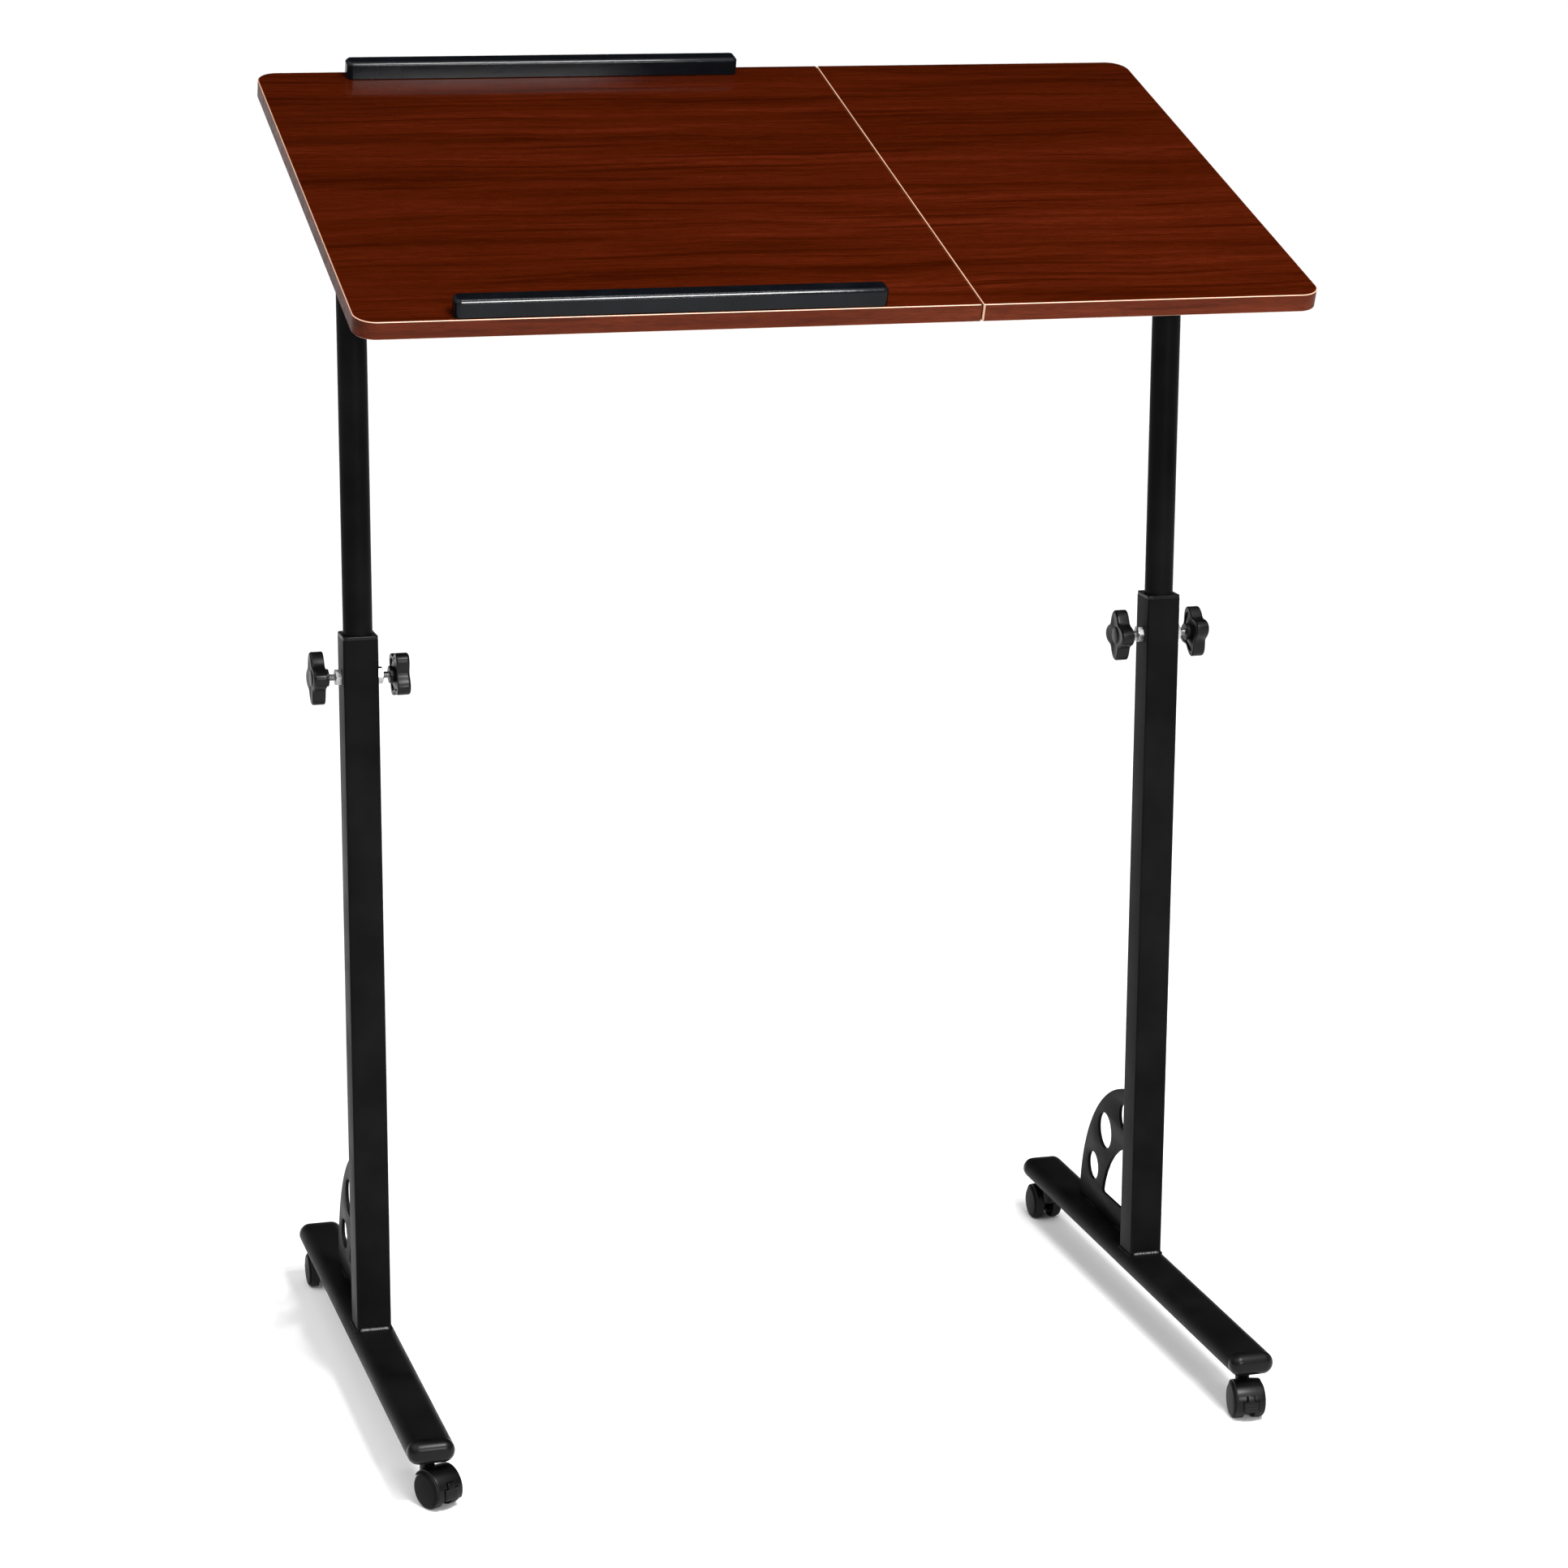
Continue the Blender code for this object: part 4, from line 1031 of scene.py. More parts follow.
def nut_mesh(low, high):
    corner = NUT_ACROSS / 2 / cos(pi / 6)
    face = NUT_ACROSS / 2 * NUT_FACE_SHARE
    drop = (corner - face) * tan(radians(NUT_CHAMFER))
    rings = [hexagon(low, corner)]
    for k in range(CONE_STEPS + 1):
        t = k / CONE_STEPS
        rings.append(hexagon(high - drop * (1 - t), corner + (face - corner) * t))
    bore = circle(STUD_RADIUS, NUT_STEPS)
    return skin(rings + [lifted(bore, high), lifted(bore, low)], closed=True)


# %% [markdown]
# ### Knobs in place
# The way the lobes point is read off the solid: it is the direction of its farthest point from the axis.

# %% Knobs in place
STUD_IN_HUB = 0.001


def knob_place(joint, node):
    """On the knob's axis, with Z out of the knob and X along a lobe."""
    rough = axes(spot(joint), axis_of(joint).orthogonal().normalized(), axis_of(joint))
    far = max(points_in(node, rough), key=lambda point: point.xy.length)
    lobe = rough.to_3x3() @ Vector((far.x, far.y, 0)).normalized()
    return axes(spot(joint), lobe, axis_of(joint))


def add_knob(name, joint, node, body, nut_low, nut_high, nut_body):
    """A knob with its stud, and its nut between two heights along the axis."""
    place = knob_place(joint, node)
    low, high = box_in(node, place)
    face = Matrix.Translation((0, 0, high.z))
    add_piece(f"{name}_knob", knob_mesh(), [PLASTIC], body, [node], place @ face)
    hub = high.z - STAR_THICKNESS - HUB_LENGTH
    add_piece(f"{name}_stud", stud_mesh(low.z, hub + STUD_IN_HUB), [ZINC], body, (), place)
    return add_piece(f"{name}_nut", nut_mesh(nut_low, nut_high), [ZINC], nut_body, (), place)


for side in SIDES:
    for face in ("outer", "inner"):
        label = f"{side}_{face}"
        joint, node = f"{label}_knob_turn", f"height_knob_{label}"
        nut_low, nut_high = box_in(f"height_nut_{label}", knob_place(joint, node))
        nut = add_knob(f"height_{label}", joint, node, f"knob_{label}", nut_low.z, nut_high.z, "base")
        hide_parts(f"height_nut_{label}")
print(f"knobs {2000 * LOBE_RADIUS:.0f} mm across, nut {1000 * NUT_ACROSS:.0f} mm across flats")

# %% [markdown]
# ## Tilt straps
# Pressed steel straps hold the leaves on the beam, and those near the seam carry a nut for the tilt knob. A
# strap is one bent strip: its middle line is straight, bends down, runs round the beam and back up. Moving
# that line out to both sides gives the strip its thickness.

# %% Strips, rounded corners and soft edges
STRAP_THICKNESS = 0.002
STRAP_CORNER = 0.005
FLAT_ANGLE = 0.5
NEAR_TIP = 1e-4


def strip_outline(line, thickness):
    """Both edges of a strip whose middle is this line."""
    left, right = [], []
    for i, point in enumerate(line):
        ahead = Vector(line[min(i + 1, len(line) - 1)])
        behind = Vector(line[max(i - 1, 0)])
        along = (ahead - behind).normalized()
        across = Vector((-along.y, along.x)) * thickness / 2
        left.append(tuple(Vector(point) + across))
        right.append(tuple(Vector(point) - across))
    return left + right[::-1]


def corners_rounded(mesh, tip, half):
    """Rounds a strap's four corners in plan."""
    work = bmesh.new()
    work.from_mesh(mesh)
    bmesh.ops.dissolve_limit(work, angle_limit=radians(FLAT_ANGLE), verts=work.verts, edges=work.edges)
    ends = []
    for edge in work.edges:
        a, b = (vertex.co for vertex in edge.verts)
        at_tip = all(abs(abs(p.y) - tip) < NEAR_TIP and abs(abs(p.x) - half) < NEAR_TIP for p in (a, b))
        if at_tip and abs(a.z - b.z) > STRAP_THICKNESS / 2:
            ends.append(edge)
    bmesh.ops.bevel(work, geom=ends, offset=STRAP_CORNER, segments=ROUND_STEPS, profile=0.5, affect="EDGES")
    return mesh_from(work)


def edges_softened(mesh, width):
    """Breaks the sharp edges of a mesh with a narrow bevel."""
    host = add_object("softened", mesh)
    bevel = host.modifiers.new("soft", "BEVEL")
    bevel.width = width
    bevel.segments = 2
    bevel.limit_method = "ANGLE"
    bevel.angle_limit = radians(SHARP_EDGE)
    return plain_mesh(host)


# %% Bent straps and tilt knobs
STRAP_GAP = 0.0003
STRAP_BEND = 0.003
STRAP_STEPS = 40
STRAP_EDGE = 0.0003
STRAP_OUTSIDE = BEAM_RADIUS + STRAP_GAP + STRAP_THICKNESS
NUT_THICKNESS = 0.005


def strap_mesh(low, high):
    """Drawn in the leaf's frame: low and high are the strap's corners there."""
    flange = BEAM_RADIUS - STRAP_THICKNESS / 2
    ring = STRAP_OUTSIDE - STRAP_THICKNESS / 2
    bend = (ring + STRAP_BEND, flange - STRAP_BEND)
    line = [(-high.y, flange)]
    line += arc((-bend[0], bend[1]), STRAP_BEND, 90, 0, ROUND_STEPS)
    line += arc((0, 0), ring, 180, 360, STRAP_STEPS)
    line += arc(bend, STRAP_BEND, 180, 90, ROUND_STEPS)
    line.append((high.y, flange))
    width = high.x - low.x
    strip = plate_mesh([strip_outline(line, STRAP_THICKNESS)], width)
    return edges_softened(corners_rounded(strip, high.y, width / 2), STRAP_EDGE)


for side in SIDES:
    for where in ("outer", "inner"):
        node = f"tilt_strap_{side}_{where}"
        low, high = box_in(node, LEAF)
        middle = Matrix.Translation(((low.x + high.x) / 2, 0, 0))
        add_piece(f"strap_{side}_{where}", strap_mesh(low, high), [POWDER], LEAF_BODY[side],
                  [node], LEAF @ middle)
    add_knob(f"tilt_{side}", f"{side}_tilt_knob_turn", f"tilt_knob_{side}", f"knob_{side}_tilt",
             STRAP_OUTSIDE, STRAP_OUTSIDE + NUT_THICKNESS, LEAF_BODY[side])
print(f"straps {1000 * (high.x - low.x):.0f} mm wide")

# %% [markdown]
# ## Casters
# Each caster is a hood over two wheels. A caster's own frame has the stem at its origin and the wheels in
# front of it, toward minus Y. A wheel is turned from one profile: a crowned disc, a round shoulder, the
# tread, and a shallow recess in its inner face.

# %% Caster frame and wheels
EDGE_STEPS = 3
WHEEL_SHOULDER = 0.004
WHEEL_CROWN = 0.0006
WHEEL_INNER_ROUND = 0.001
DISC_SHARES = (0.0, 0.25, 0.5, 0.75, 0.92)
RECESS_DEPTH = 0.0012
RECESS_RIM = 0.6
RECESS_FLOOR = 0.55
TREAD_DEPTH = 0.0006
CASTERS = [f"{side}_{end}" for side in SIDES for end in ("front", "rear")]


def caster_frame(label):
    """A caster's place, the distance from stem to axle, and the axle's height."""
    stem = spot(f"{label}_swivel") * Vector((1, 1, 0))
    axle = spot(f"{label}_wheel_a_spin")
    ahead = (axle - stem) * Vector((1, 1, 0))
    return axes(stem, (-ahead.normalized()).cross(UP), UP), ahead.length, axle.z


def wheel_mesh(radius, width):
    """Z points out of the caster, from the wheel's inner face. The tread gets the second finish."""
    shoulder = (radius - WHEEL_SHOULDER, width - WHEEL_CROWN - WHEEL_SHOULDER)
    profile = [(shoulder[0] * share, width - WHEEL_CROWN * share ** 2) for share in DISC_SHARES]
    profile += arc(shoulder, WHEEL_SHOULDER, 90, 0, 2 * ROUND_STEPS)
    profile += arc((radius - WHEEL_INNER_ROUND, WHEEL_INNER_ROUND), WHEEL_INNER_ROUND, 0, -90, EDGE_STEPS)
    profile += [(radius * RECESS_RIM, 0), (radius * RECESS_FLOOR, RECESS_DEPTH), (0, RECESS_DEPTH)]
    return second_finish(turned(profile), lambda face: face.center.xy.length > radius - TREAD_DEPTH)


for label in CASTERS:
    place, trail, wheel_radius = caster_frame(label)
    for wheel in ("a", "b"):
        low, high = box_in(f"caster_wheel_{label}_{wheel}", place)
        outward = ALONG_X if high.x > -low.x else -ALONG_X
        inner = low.x if outward.x > 0 else high.x
        seat = axes(Vector((inner, -trail, wheel_radius)), UP, outward)
        add_piece(f"wheel_{label}_{wheel}", wheel_mesh(wheel_radius, high.x - low.x), [WHEEL, TREAD],
                  f"wheel_{label}_{wheel}", [f"caster_wheel_{label}_{wheel}"], place @ seat)
print(f"wheels {2000 * wheel_radius:.0f} mm, trail {1000 * trail:.0f} mm")

# %% [markdown]
# ### Roof of the hood
# The roof is a thin strip with a slight crown, bent round the axle. On the front casters it has a notch, in
# which the brake's tab rocks. It is an outer and an inner sheet over one grid of angles and widths. Cells in
# the notch are left out, and every rim is closed between the two sheets.

# %% Roof with its notch
RIM_GAP = 0.0007
ROOF_WALL = 0.0015
ROOF_CROWN = 0.0007
ROOF_RIM = 0.0003
ROOF_COLUMNS = 8
ROOF_ROWS = 60
ROOF_REAR = 33.0
ROOF_FRONT = 205.0
TAB_WIDTH = 0.013
NECK_WIDTH = 0.006
NECK_TOP = 152.0
TAB_TOP = 167.0
NOTCH_SIDE = 0.0007
NOTCH_END = 2.0
NECK_SLOT = NECK_WIDTH / 2 + NOTCH_SIDE
TAB_SLOT = TAB_WIDTH / 2 + NOTCH_SIDE


def in_notch(angle, x):
    """Whether a spot of the roof lies in the notch: a narrow slot for the neck, a wide one for the tab."""
    if angle > TAB_TOP - NOTCH_END:
        return abs(x) < TAB_SLOT
    return angle > NECK_TOP - NOTCH_END and abs(x) < NECK_SLOT


def roof_mesh(axle, inside, half, with_notch):
    widths = [half * k / ROOF_COLUMNS for k in range(ROOF_COLUMNS + 1)] + [NECK_SLOT, TAB_SLOT]
    across = sorted({side * width for side in (-1, 1) for width in widths})
    steps = [ROOF_REAR + (ROOF_FRONT - ROOF_REAR) * i / ROOF_ROWS for i in range(ROOF_ROWS + 1)]
    angles = sorted(steps + [NECK_TOP - NOTCH_END, TAB_TOP - NOTCH_END])
    outside = inside + ROOF_WALL
    work = bmesh.new()
    outer, inner = {}, {}
    for i, angle in enumerate(angles):
        along, up = cos(radians(angle)), sin(radians(angle))
        for k, x in enumerate(across):
            for sheet, reach in ((outer, outside - ROOF_CROWN * (x / half) ** 2), (inner, inside)):
                sheet[i, k] = work.verts.new((x, axle[0] + reach * along, axle[1] + reach * up))
    for i in range(len(angles) - 1):
        for k in range(len(across) - 1):
            if with_notch and in_notch((angles[i] + angles[i + 1]) / 2, (across[k] + across[k + 1]) / 2):
                continue
            corners = ((i, k), (i, k + 1), (i + 1, k + 1), (i + 1, k))
            work.faces.new([outer[corner] for corner in corners])
            work.faces.new([inner[corner] for corner in reversed(corners)])
    twin = {outer[key]: inner[key] for key in outer}
    rims = [edge.verts[:] for edge in work.edges if len(edge.link_faces) == 1 and edge.verts[0] in twin]
    for a, b in rims:
        work.faces.new((a, b, twin[b], twin[a]))
    loose = [vertex for vertex in work.verts if not vertex.link_faces]
    bmesh.ops.delete(work, geom=loose, context="VERTS")
    return edges_softened(mesh_from(work), ROOF_RIM)


# %% [markdown]
# ### Web, boss and stem
# Under the roof a web stands between the wheels and holds the axle. The boss behind it takes the stem. The
# web keeps a pocket free behind the brake's neck, so that the brake can rock inward.

# %% Web and boss
WEB_WIDTH = 0.008
WEB_IN_ROOF = ROOF_WALL / 3
WEB_LOW = 246.0
WEB_INSIDE = 0.0025
WEB_STEPS = 36
WEB_END_STEPS = 12
NECK_POCKET = 0.0012
AXLE_HUB = 0.006
BOSS_RADIUS = 0.00625
BOSS_ROUND = 0.0008
BOSS_STEPS = 4
BORE_DEPTH = 0.002
STEM_RADIUS = 0.00275
STEM_GAP = 0.0003


def web_mesh(axle, wheel_radius, with_notch):
    front = NECK_TOP - 2 * NOTCH_END if with_notch else ROOF_FRONT
    web = arc(axle, wheel_radius + RIM_GAP + WEB_IN_ROOF, ROOF_REAR, front, WEB_STEPS)
    if with_notch:
        web += arc(axle, wheel_radius - NECK_POCKET, front, ROOF_FRONT, WEB_END_STEPS)
    web += arc(axle, wheel_radius - WEB_INSIDE, ROOF_FRONT, WEB_LOW, WEB_END_STEPS)
    web += arc(axle, AXLE_HUB, WEB_LOW, 360 + ROOF_REAR, WEB_END_STEPS)
    return edges_softened(plate_mesh([web], WEB_WIDTH), PUNCH_ROUND)


def boss_mesh(low, top):
    inner, bore, floor = BOSS_RADIUS - BOSS_ROUND, STEM_RADIUS + STEM_GAP, top - BORE_DEPTH
    profile = [(0, low), (inner, low), (BOSS_RADIUS, low + BOSS_ROUND)]
    profile += arc((inner, top - BOSS_ROUND), BOSS_ROUND, 0, 90, BOSS_STEPS)
    return turned(profile + [(bore, top), (bore, floor), (0, floor)])


def joined(meshes):
    """Several closed shapes in one mesh."""
    work = bmesh.new()
    for mesh in meshes:
        work.from_mesh(mesh)
    mesh = bpy.data.meshes.new("joined")
    work.to_mesh(mesh)
    work.free()
    return mesh


# %% Stems, and the hoods in place
BOSS_ABOVE_AXLE = 0.0037
FLANGE_RADIUS = 0.006
FLANGE_THICKNESS = 0.0015
FLANGE_EDGE = 0.0003


def stem_mesh(bottom, boss_top, top):
    """A pin with a flange that lies on the boss."""
    low = boss_top + STEM_GAP
    high = low + FLANGE_THICKNESS
    inner = FLANGE_RADIUS - FLANGE_EDGE
    profile = [(0, bottom), (STEM_RADIUS, bottom), (STEM_RADIUS, low), (inner, low)]
    profile += [(FLANGE_RADIUS, low + FLANGE_EDGE), (FLANGE_RADIUS, high - FLANGE_EDGE)]
    profile += [(inner, high), (STEM_RADIUS, high), (STEM_RADIUS, top), (0, top)]
    return turned(profile)


for label in CASTERS:
    place, trail, wheel_radius = caster_frame(label)
    low, high = box_in(f"caster_hood_{label}", place)
    axle, with_notch = (-trail, wheel_radius), label.endswith("front")
    hood = joined([
        roof_mesh(axle, wheel_radius + RIM_GAP, high.x, with_notch),
        web_mesh(axle, wheel_radius, with_notch),
        boss_mesh(wheel_radius + BOSS_ABOVE_AXLE, high.z)])
    add_piece(f"hood_{label}", hood, [PLASTIC], f"caster_{label}",
              [f"caster_hood_{label}"], place)
    stem_low, stem_high = box_in(f"caster_stem_{label}", place)
    add_piece(f"stem_{label}", stem_mesh(stem_low.z, high.z, stem_high.z), [ZINC], "base",
              [f"caster_stem_{label}"], place)
print(f"hoods {2000 * high.x:.0f} mm wide, stems {2000 * STEM_RADIUS:.1f} mm thick")

# %% [markdown]
# ## Geometry Nodes: what repeats
# Grip ribs, screw heads and weld ripples are one small form, many times. A geometry tree with named inputs
# places them on points or along a path, realizes them and sets their finish. The result is taken as a plain
# mesh, so nothing depends on the tree afterwards.

# %% Trees and the meshes that they grow
def new_tree(name, inputs):
    """A geometry tree with named inputs, each (label, kind, value), and one for the finish."""
    tree = bpy.data.node_groups.new(name, "GeometryNodeTree")
    tree.is_modifier = True
    tree.interface.new_socket("Geometry", in_out="INPUT", socket_type="NodeSocketGeometry")
    tree.interface.new_socket("Geometry", in_out="OUTPUT", socket_type="NodeSocketGeometry")
    for label, kind, value in inputs:
        socket = tree.interface.new_socket(label, in_out="INPUT", socket_type=f"NodeSocket{kind}")
        socket.default_value = value
    tree.interface.new_socket("Finish", in_out="INPUT", socket_type="NodeSocketMaterial")
    return tree, add_node(tree, "NodeGroupInput").outputs


def finish_tree(tree, given, points, form, **each):
    """Ends a tree: copies of a form on the points become real, get their finish and leave."""
    copies = wire(tree, "GeometryNodeInstanceOnPoints", {"Points": points, "Instance": form, **each})
    real = wire(tree, "GeometryNodeRealizeInstances", {"Geometry": copies})
    painted = wire(tree, "GeometryNodeSetMaterial", {"Geometry": real, "Material": given["Finish"]})
    add_node(tree, "NodeGroupOutput", {"Geometry": painted})
    return tree


def grown(tree, source, settings):
    """The plain mesh that a tree makes from a source mesh. Inputs that aren't set keep the tree's values."""
    host = add_object("host", source)
    modifier = host.modifiers.new("grow", "NODES")
    modifier.node_group = tree
    names = {item.name: item.identifier for item in tree.interface.items_tree if item.in_out == "INPUT"}
    for label, value in settings.items():
        modifier[names[label]] = value
    return plain_mesh(host)


def dots(points):
    mesh = bpy.data.meshes.new("dots")
    mesh.from_pydata(points, [], [])
    return mesh


# %% [markdown]
# ## Brake tabs
# The tab of the brake sits in the hood's notch: a neck, a wide curved pad, and ribs for the toe. The pad and
# neck are sections swept round the axle. The ribs are bars on three points, laid along the caster's axle.

# %% Pad and neck
TAB_BOTTOM = 198.0
TAB_PROUD = 0.0012
TAB_THICKNESS = 0.0023
TAB_EDGE = 0.0006
TAB_EDGE_SHARE = 0.45
TAB_COLUMNS = 8
SWEEP_STEP = 5.0
SWEEP_LEAST = 3
NECK_OVERLAP = 1.0


def tab_section(width, inside, outside):
    """A strip's outline across the caster, as (x, radius), its outer face crowned and its edges rounded."""
    def top(x):
        return outside - ROOF_CROWN * (x / TAB_WIDTH) ** 2

    edge = min(TAB_EDGE, (outside - inside) * TAB_EDGE_SHARE)
    end = width / 2 - edge
    high = top(width / 2) - edge
    points = arc((-end, inside + edge), edge, 270, 180, EDGE_STEPS)
    points += arc((-end, high), edge, 180, 90, EDGE_STEPS)
    for i in range(1, TAB_COLUMNS):
        x = 2 * end * i / TAB_COLUMNS - end
        points.append((x, top(x)))
    points += arc((end, high), edge, 90, 0, EDGE_STEPS)
    points += arc((end, inside + edge), edge, 0, -90, EDGE_STEPS)
    return points


def swept(section, axle, start, end):
    """A section of (x, radius) swept round the axle, from one angle to another, both seen from the side."""
    steps = max(SWEEP_LEAST, round(abs(end - start) / SWEEP_STEP))
    rings = []
    for i in range(steps + 1):
        angle = radians(start + (end - start) * i / steps)
        rings.append([(x, axle[0] + r * cos(angle), axle[1] + r * sin(angle)) for x, r in section])
    return skin(rings)


# %% Ribs, and the tabs in place
RIB_ANGLES = (177.0, 184.0, 191.0)
RIB_RADIUS = 0.0005
RIB_SHORT = 0.003
RIB_SIDES = 12


def rib_tree():
    tree, given = new_tree("grip_ribs", [
        ("Along", "Vector", ALONG_X), ("Radius", "Float", RIB_RADIUS),
        ("Length", "Float", TAB_WIDTH - RIB_SHORT)])
    bar = wire(tree, "GeometryNodeMeshCylinder", {
        "Vertices": RIB_SIDES, "Radius": given["Radius"], "Depth": given["Length"]}, fill_type="TRIANGLE_FAN")
    lay = wire(tree, "FunctionNodeAlignRotationToVector", {"Vector": given["Along"]}, axis="Z")
    return finish_tree(tree, given, given["Geometry"], bar, Rotation=lay)


RIBS = rib_tree()
for side in SIDES:
    label = f"{side}_front"
    place, trail, wheel_radius = caster_frame(label)
    axle = (-trail, wheel_radius)
    outside = wheel_radius + RIM_GAP + ROOF_WALL + TAB_PROUD
    inside = outside - TAB_THICKNESS
    centres = [(0, *arc(axle, outside - RIB_RADIUS / 2, angle, angle, 1)[0]) for angle in RIB_ANGLES]
    tab = joined([
        swept(tab_section(TAB_WIDTH, inside, outside), axle, TAB_TOP, TAB_BOTTOM),
        swept(tab_section(NECK_WIDTH, inside, outside), axle, NECK_TOP, TAB_TOP + NECK_OVERLAP),
        grown(RIBS, dots(centres), {"Finish": PLASTIC})])
    add_piece(f"brake_tab_{label}", tab, [PLASTIC], f"brake_{side}",
              [f"brake_lever_{label}"], place)
print("brake tabs with", len(RIB_ANGLES), "ribs each")

# %% [markdown]
# ## Screws
# Pan-head screws with a cross recess hold the straps and, from below, the stop bars. The tree makes one head,
# cuts the cross with two blocks, and puts a copy on each point. Every copy gets its own turn, from a fixed
# seed, because no one drives screws to the same angle.

# %% Screw heads
SCREW_RADIUS = 0.0038
SCREW_HEIGHT = 0.0024
SCREW_SEGMENTS = 28
SCREW_RINGS = 16
CROSS_LENGTH = 0.0042
CROSS_WIDTH = 0.0009
CROSS_DEPTH = 0.0014
SCREW_SEED = 7


def screw_head(tree, given):
    """A flattened ball with two crossed slots, cut by blocks that lie half in its top and half above."""
    def vector(**parts):
        return wire(tree, "ShaderNodeCombineXYZ", parts)

    radius, height = given["Radius"], given["Height"]
    ball = wire(tree, "GeometryNodeMeshUVSphere", {
        "Segments": SCREW_SEGMENTS, "Rings": SCREW_RINGS, "Radius": 1.0})
    head = wire(tree, "GeometryNodeTransform", {
        "Geometry": ball, "Scale": vector(X=radius, Y=radius, Z=height)})
    tall = maths(tree, "MULTIPLY", given["Cross depth"], 2.0)
    for x, y in (("Cross length", "Cross width"), ("Cross width", "Cross length")):
        block = wire(tree, "GeometryNodeMeshCube", {"Size": vector(X=given[x], Y=given[y], Z=tall)})
        raised = wire(tree, "GeometryNodeTransform", {"Geometry": block, "Translation": vector(Z=height)})
        head = wire(tree, "GeometryNodeMeshBoolean", {
            "Mesh 1": head, "Mesh 2": raised}, operation="DIFFERENCE", solver="EXACT")
    return head


def screw_tree():
    tree, given = new_tree("screw_heads", [
        ("Facing", "Vector", -UP), ("Radius", "Float", SCREW_RADIUS), ("Height", "Float", SCREW_HEIGHT),
        ("Cross length", "Float", CROSS_LENGTH), ("Cross width", "Float", CROSS_WIDTH),
        ("Cross depth", "Float", CROSS_DEPTH), ("Seed", "Int", SCREW_SEED)])
    upright = wire(tree, "FunctionNodeAlignRotationToVector", {"Vector": given["Facing"]}, axis="Z")
    angle = wire(tree, "FunctionNodeRandomValue", {
        2: 0.0, 3: tau, "Seed": given["Seed"]}, 1, data_type="FLOAT")
    spin = wire(tree, "FunctionNodeAxisAngleToRotation", {"Axis": UP, "Angle": angle})
    driven = wire(tree, "FunctionNodeRotateRotation", {
        "Rotation": upright, "Rotate By": spin}, rotation_space="LOCAL")
    return finish_tree(tree, given, given["Geometry"], screw_head(tree, given), Rotation=driven)


# %% Screws in place
STRAP_SCREW_X = 0.0085
STOP_SCREW_STEP = 0.14


def strap_screw_spots(side):
    spots = []
    for where in ("outer", "inner"):
        low, high = box_in(f"tilt_strap_{side}_{where}", LEAF)
        across = (high.y + STRAP_OUTSIDE) / 2
        for x in (-STRAP_SCREW_X, STRAP_SCREW_X):
            for y in (-across, across):
                spots.append(((low.x + high.x) / 2 + x, y, BEAM_RADIUS - STRAP_THICKNESS))
    return spots


def stop_screw_spots():
    spots = []
    for end in ("front", "rear"):
        low, high = box_in(f"{end}_stop", LEAF)
        for step in (-1, 0, 1):
            spots.append(((low.x + high.x) / 2 + step * STOP_SCREW_STEP, (low.y + high.y) / 2, leaf_low.z))
    return spots


SCREWS = screw_tree()
for side in SIDES:
    spots = strap_screw_spots(side) + (stop_screw_spots() if side == "left" else [])
    heads = grown(SCREWS, dots(spots), {"Finish": ZINC})
    add_piece(f"screws_{side}", heads, [ZINC], LEAF_BODY[side], (), LEAF)
    print(f"{len(spots)} screws on the {side} leaf")

# %% [markdown]
# ## Welds
# The posts, gussets and tubes are welded, and the powder coat runs over the beads. A bead is a row of ripples
# that overlap like fish scales. The tree walks along a path and drops a ball at every pitch.

# %% Weld beads
BEAD_RADIUS = 0.0021
TACK_RADIUS = 0.0016
BEAD_PITCH = 0.0011
BEAD_SEED = 3
RIPPLE_SEGMENTS = 12
RIPPLE_RINGS = 8
RIPPLE_SMALL = 0.86
RIPPLE_LARGE = 1.12


def weld_tree():
    tree, given = new_tree("weld_beads", [
        ("Radius", "Float", BEAD_RADIUS), ("Pitch", "Float", BEAD_PITCH), ("Seed", "Int", BEAD_SEED)])
    path = wire(tree, "GeometryNodeMeshToCurve", {"Mesh": given["Geometry"]})
    stations = wire(tree, "GeometryNodeResampleCurve", {
        "Curve": path, "Length": given["Pitch"]}, mode="LENGTH")
    ripple = wire(tree, "GeometryNodeMeshUVSphere", {
        "Segments": RIPPLE_SEGMENTS, "Rings": RIPPLE_RINGS, "Radius": given["Radius"]})
    size = wire(tree, "FunctionNodeRandomValue", {
        2: RIPPLE_SMALL, 3: RIPPLE_LARGE, "Seed": given["Seed"]}, 1, data_type="FLOAT")
    return finish_tree(tree, given, stations, ripple, Scale=size)


def paths(lines):
    """A mesh of open lines, each a list of points."""
    points, edges = [], []
    for line in lines:
        first = len(points)
        points += line
        edges += [(first + i, first + i + 1) for i in range(len(line) - 1)]
    mesh = bpy.data.meshes.new("paths")
    mesh.from_pydata(points, edges, [])
    return mesh


# %% [markdown]
# ### Where the beads run
# A bead runs across the front and the back of each post, on the flat of the foot. Smaller ones run along the
# post's sides, in short tacks along both edges of a gusset, and round each tube where it meets the beam.

# %% Welds in place
FOOT_FLAT = 0.0105
SHOULDER_DROP = 0.0013
TACK = 0.022
WELDS = weld_tree()


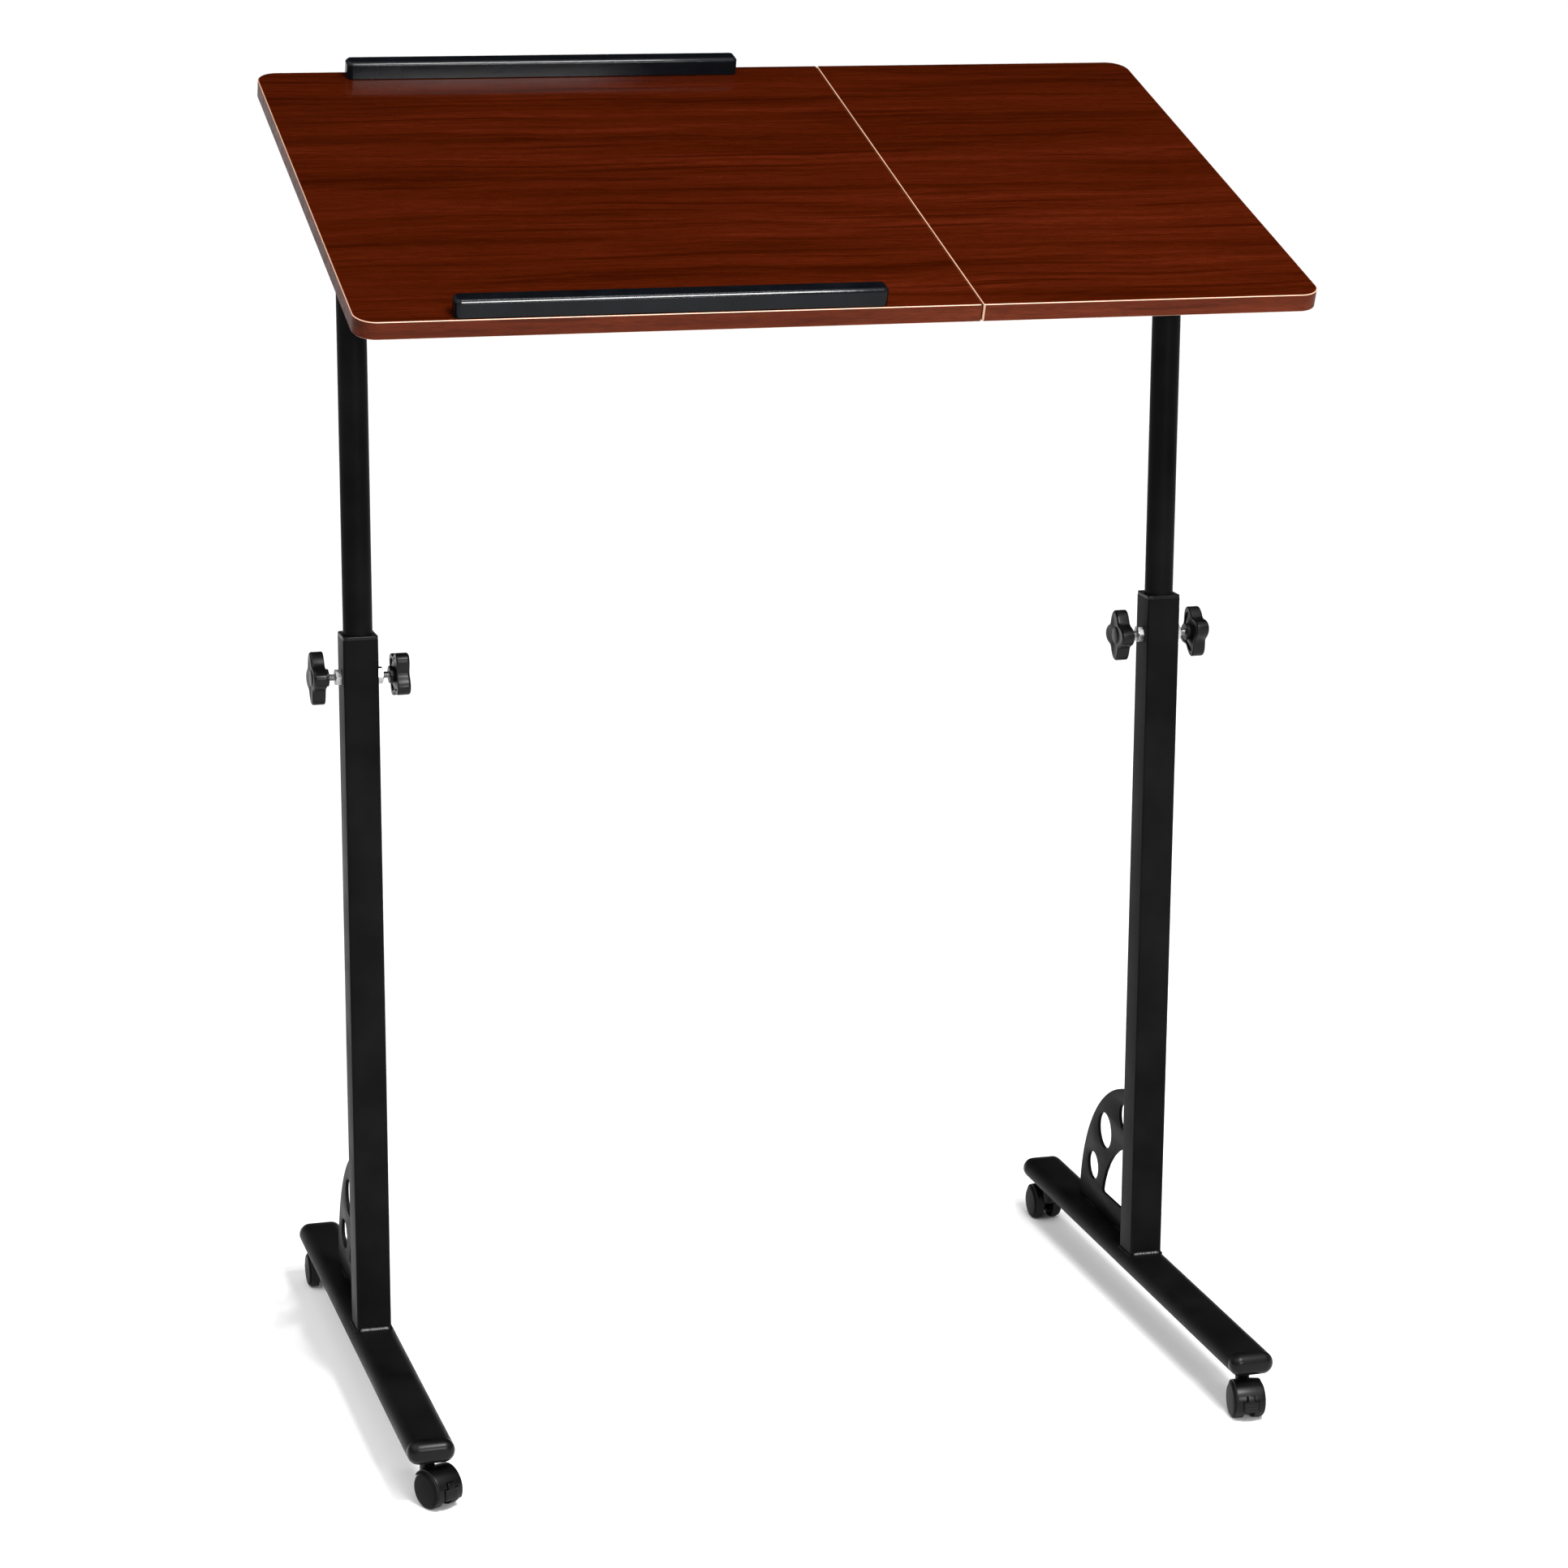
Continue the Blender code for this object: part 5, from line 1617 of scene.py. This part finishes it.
def post_weld_lines(side):
    x = POST_SPOT[side].translation.x
    ends = (x - FOOT_FLAT, x + FOOT_FLAT)
    return [[(end, y, FOOT_TOP) for end in ends] for y in (-POST_SIDE / 2, POST_SIDE / 2)]


def plate_weld_lines(side):
    x = POST_SPOT[side].translation.x
    half = POST_SIDE / 2
    low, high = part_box(f"gusset_{side}")
    lines = []
    for toward, face in ((-1, low.x), (1, high.x)):
        edge = (x + toward * half, FOOT_TOP - SHOULDER_DROP)
        lines.append([(edge[0], y, edge[1]) for y in (-half + BEAD_RADIUS, half - BEAD_RADIUS)])
        for start in (TACK, high.y - low.y - 2 * TACK):
            lines.append([(face, low.y + reach, low.z) for reach in (start, start + TACK)])
            lines.append([(face, low.y, low.z + reach) for reach in (start, start + TACK)])
    return lines


def tube_weld_line(side):
    ring = notched(TUBE_RADIUS)
    shift = POST_SPOT[side].translation
    return [tuple(Vector(point) + shift) for point in ring + ring[:1]]


def add_welds(name, lines, radius, finish, body):
    mesh = grown(WELDS, paths(lines), {"Radius": radius, "Finish": finish})
    add_piece(name, mesh, [finish], body)
    print(f"{name}: {len(lines)} beads")


# The beads across the posts get the lighter weld coat, whose tint is a painted highlight.
add_welds("post_welds", post_weld_lines("left") + post_weld_lines("right"), BEAD_RADIUS, WELD_COAT_PAINTED_HIGHLIGHT, "base")
add_welds("plate_welds", plate_weld_lines("left") + plate_weld_lines("right"), TACK_RADIUS, POWDER, "base")
add_welds("tube_welds", [tube_weld_line(side) for side in SIDES], TACK_RADIUS, POWDER, "rising_frame")

# %% [markdown]
# ## Solids that stay, and a count
# Only the hidden axles keep their solid's shape, with the zinc finish. Last, the meshes that show and their
# triangles are counted and printed, with the solids that stay.

# %% Axles and counts
for label in CASTERS:
    axle = solids[f"caster_axle_{label}"]
    axle.data.materials.clear()
    axle.data.materials.append(ZINC)

shown = [item for item in bpy.context.scene.objects if item.type == "MESH" and not item.hide_render]
triangles = sum(len(polygon.vertices) - 2 for item in shown for polygon in item.data.polygons)
print(f"{len(shown)} meshes shown, {triangles} triangles")
still_plain = sorted(name for name, item in solids.items() if not item.hide_render)
print("solids that stay:", still_plain)
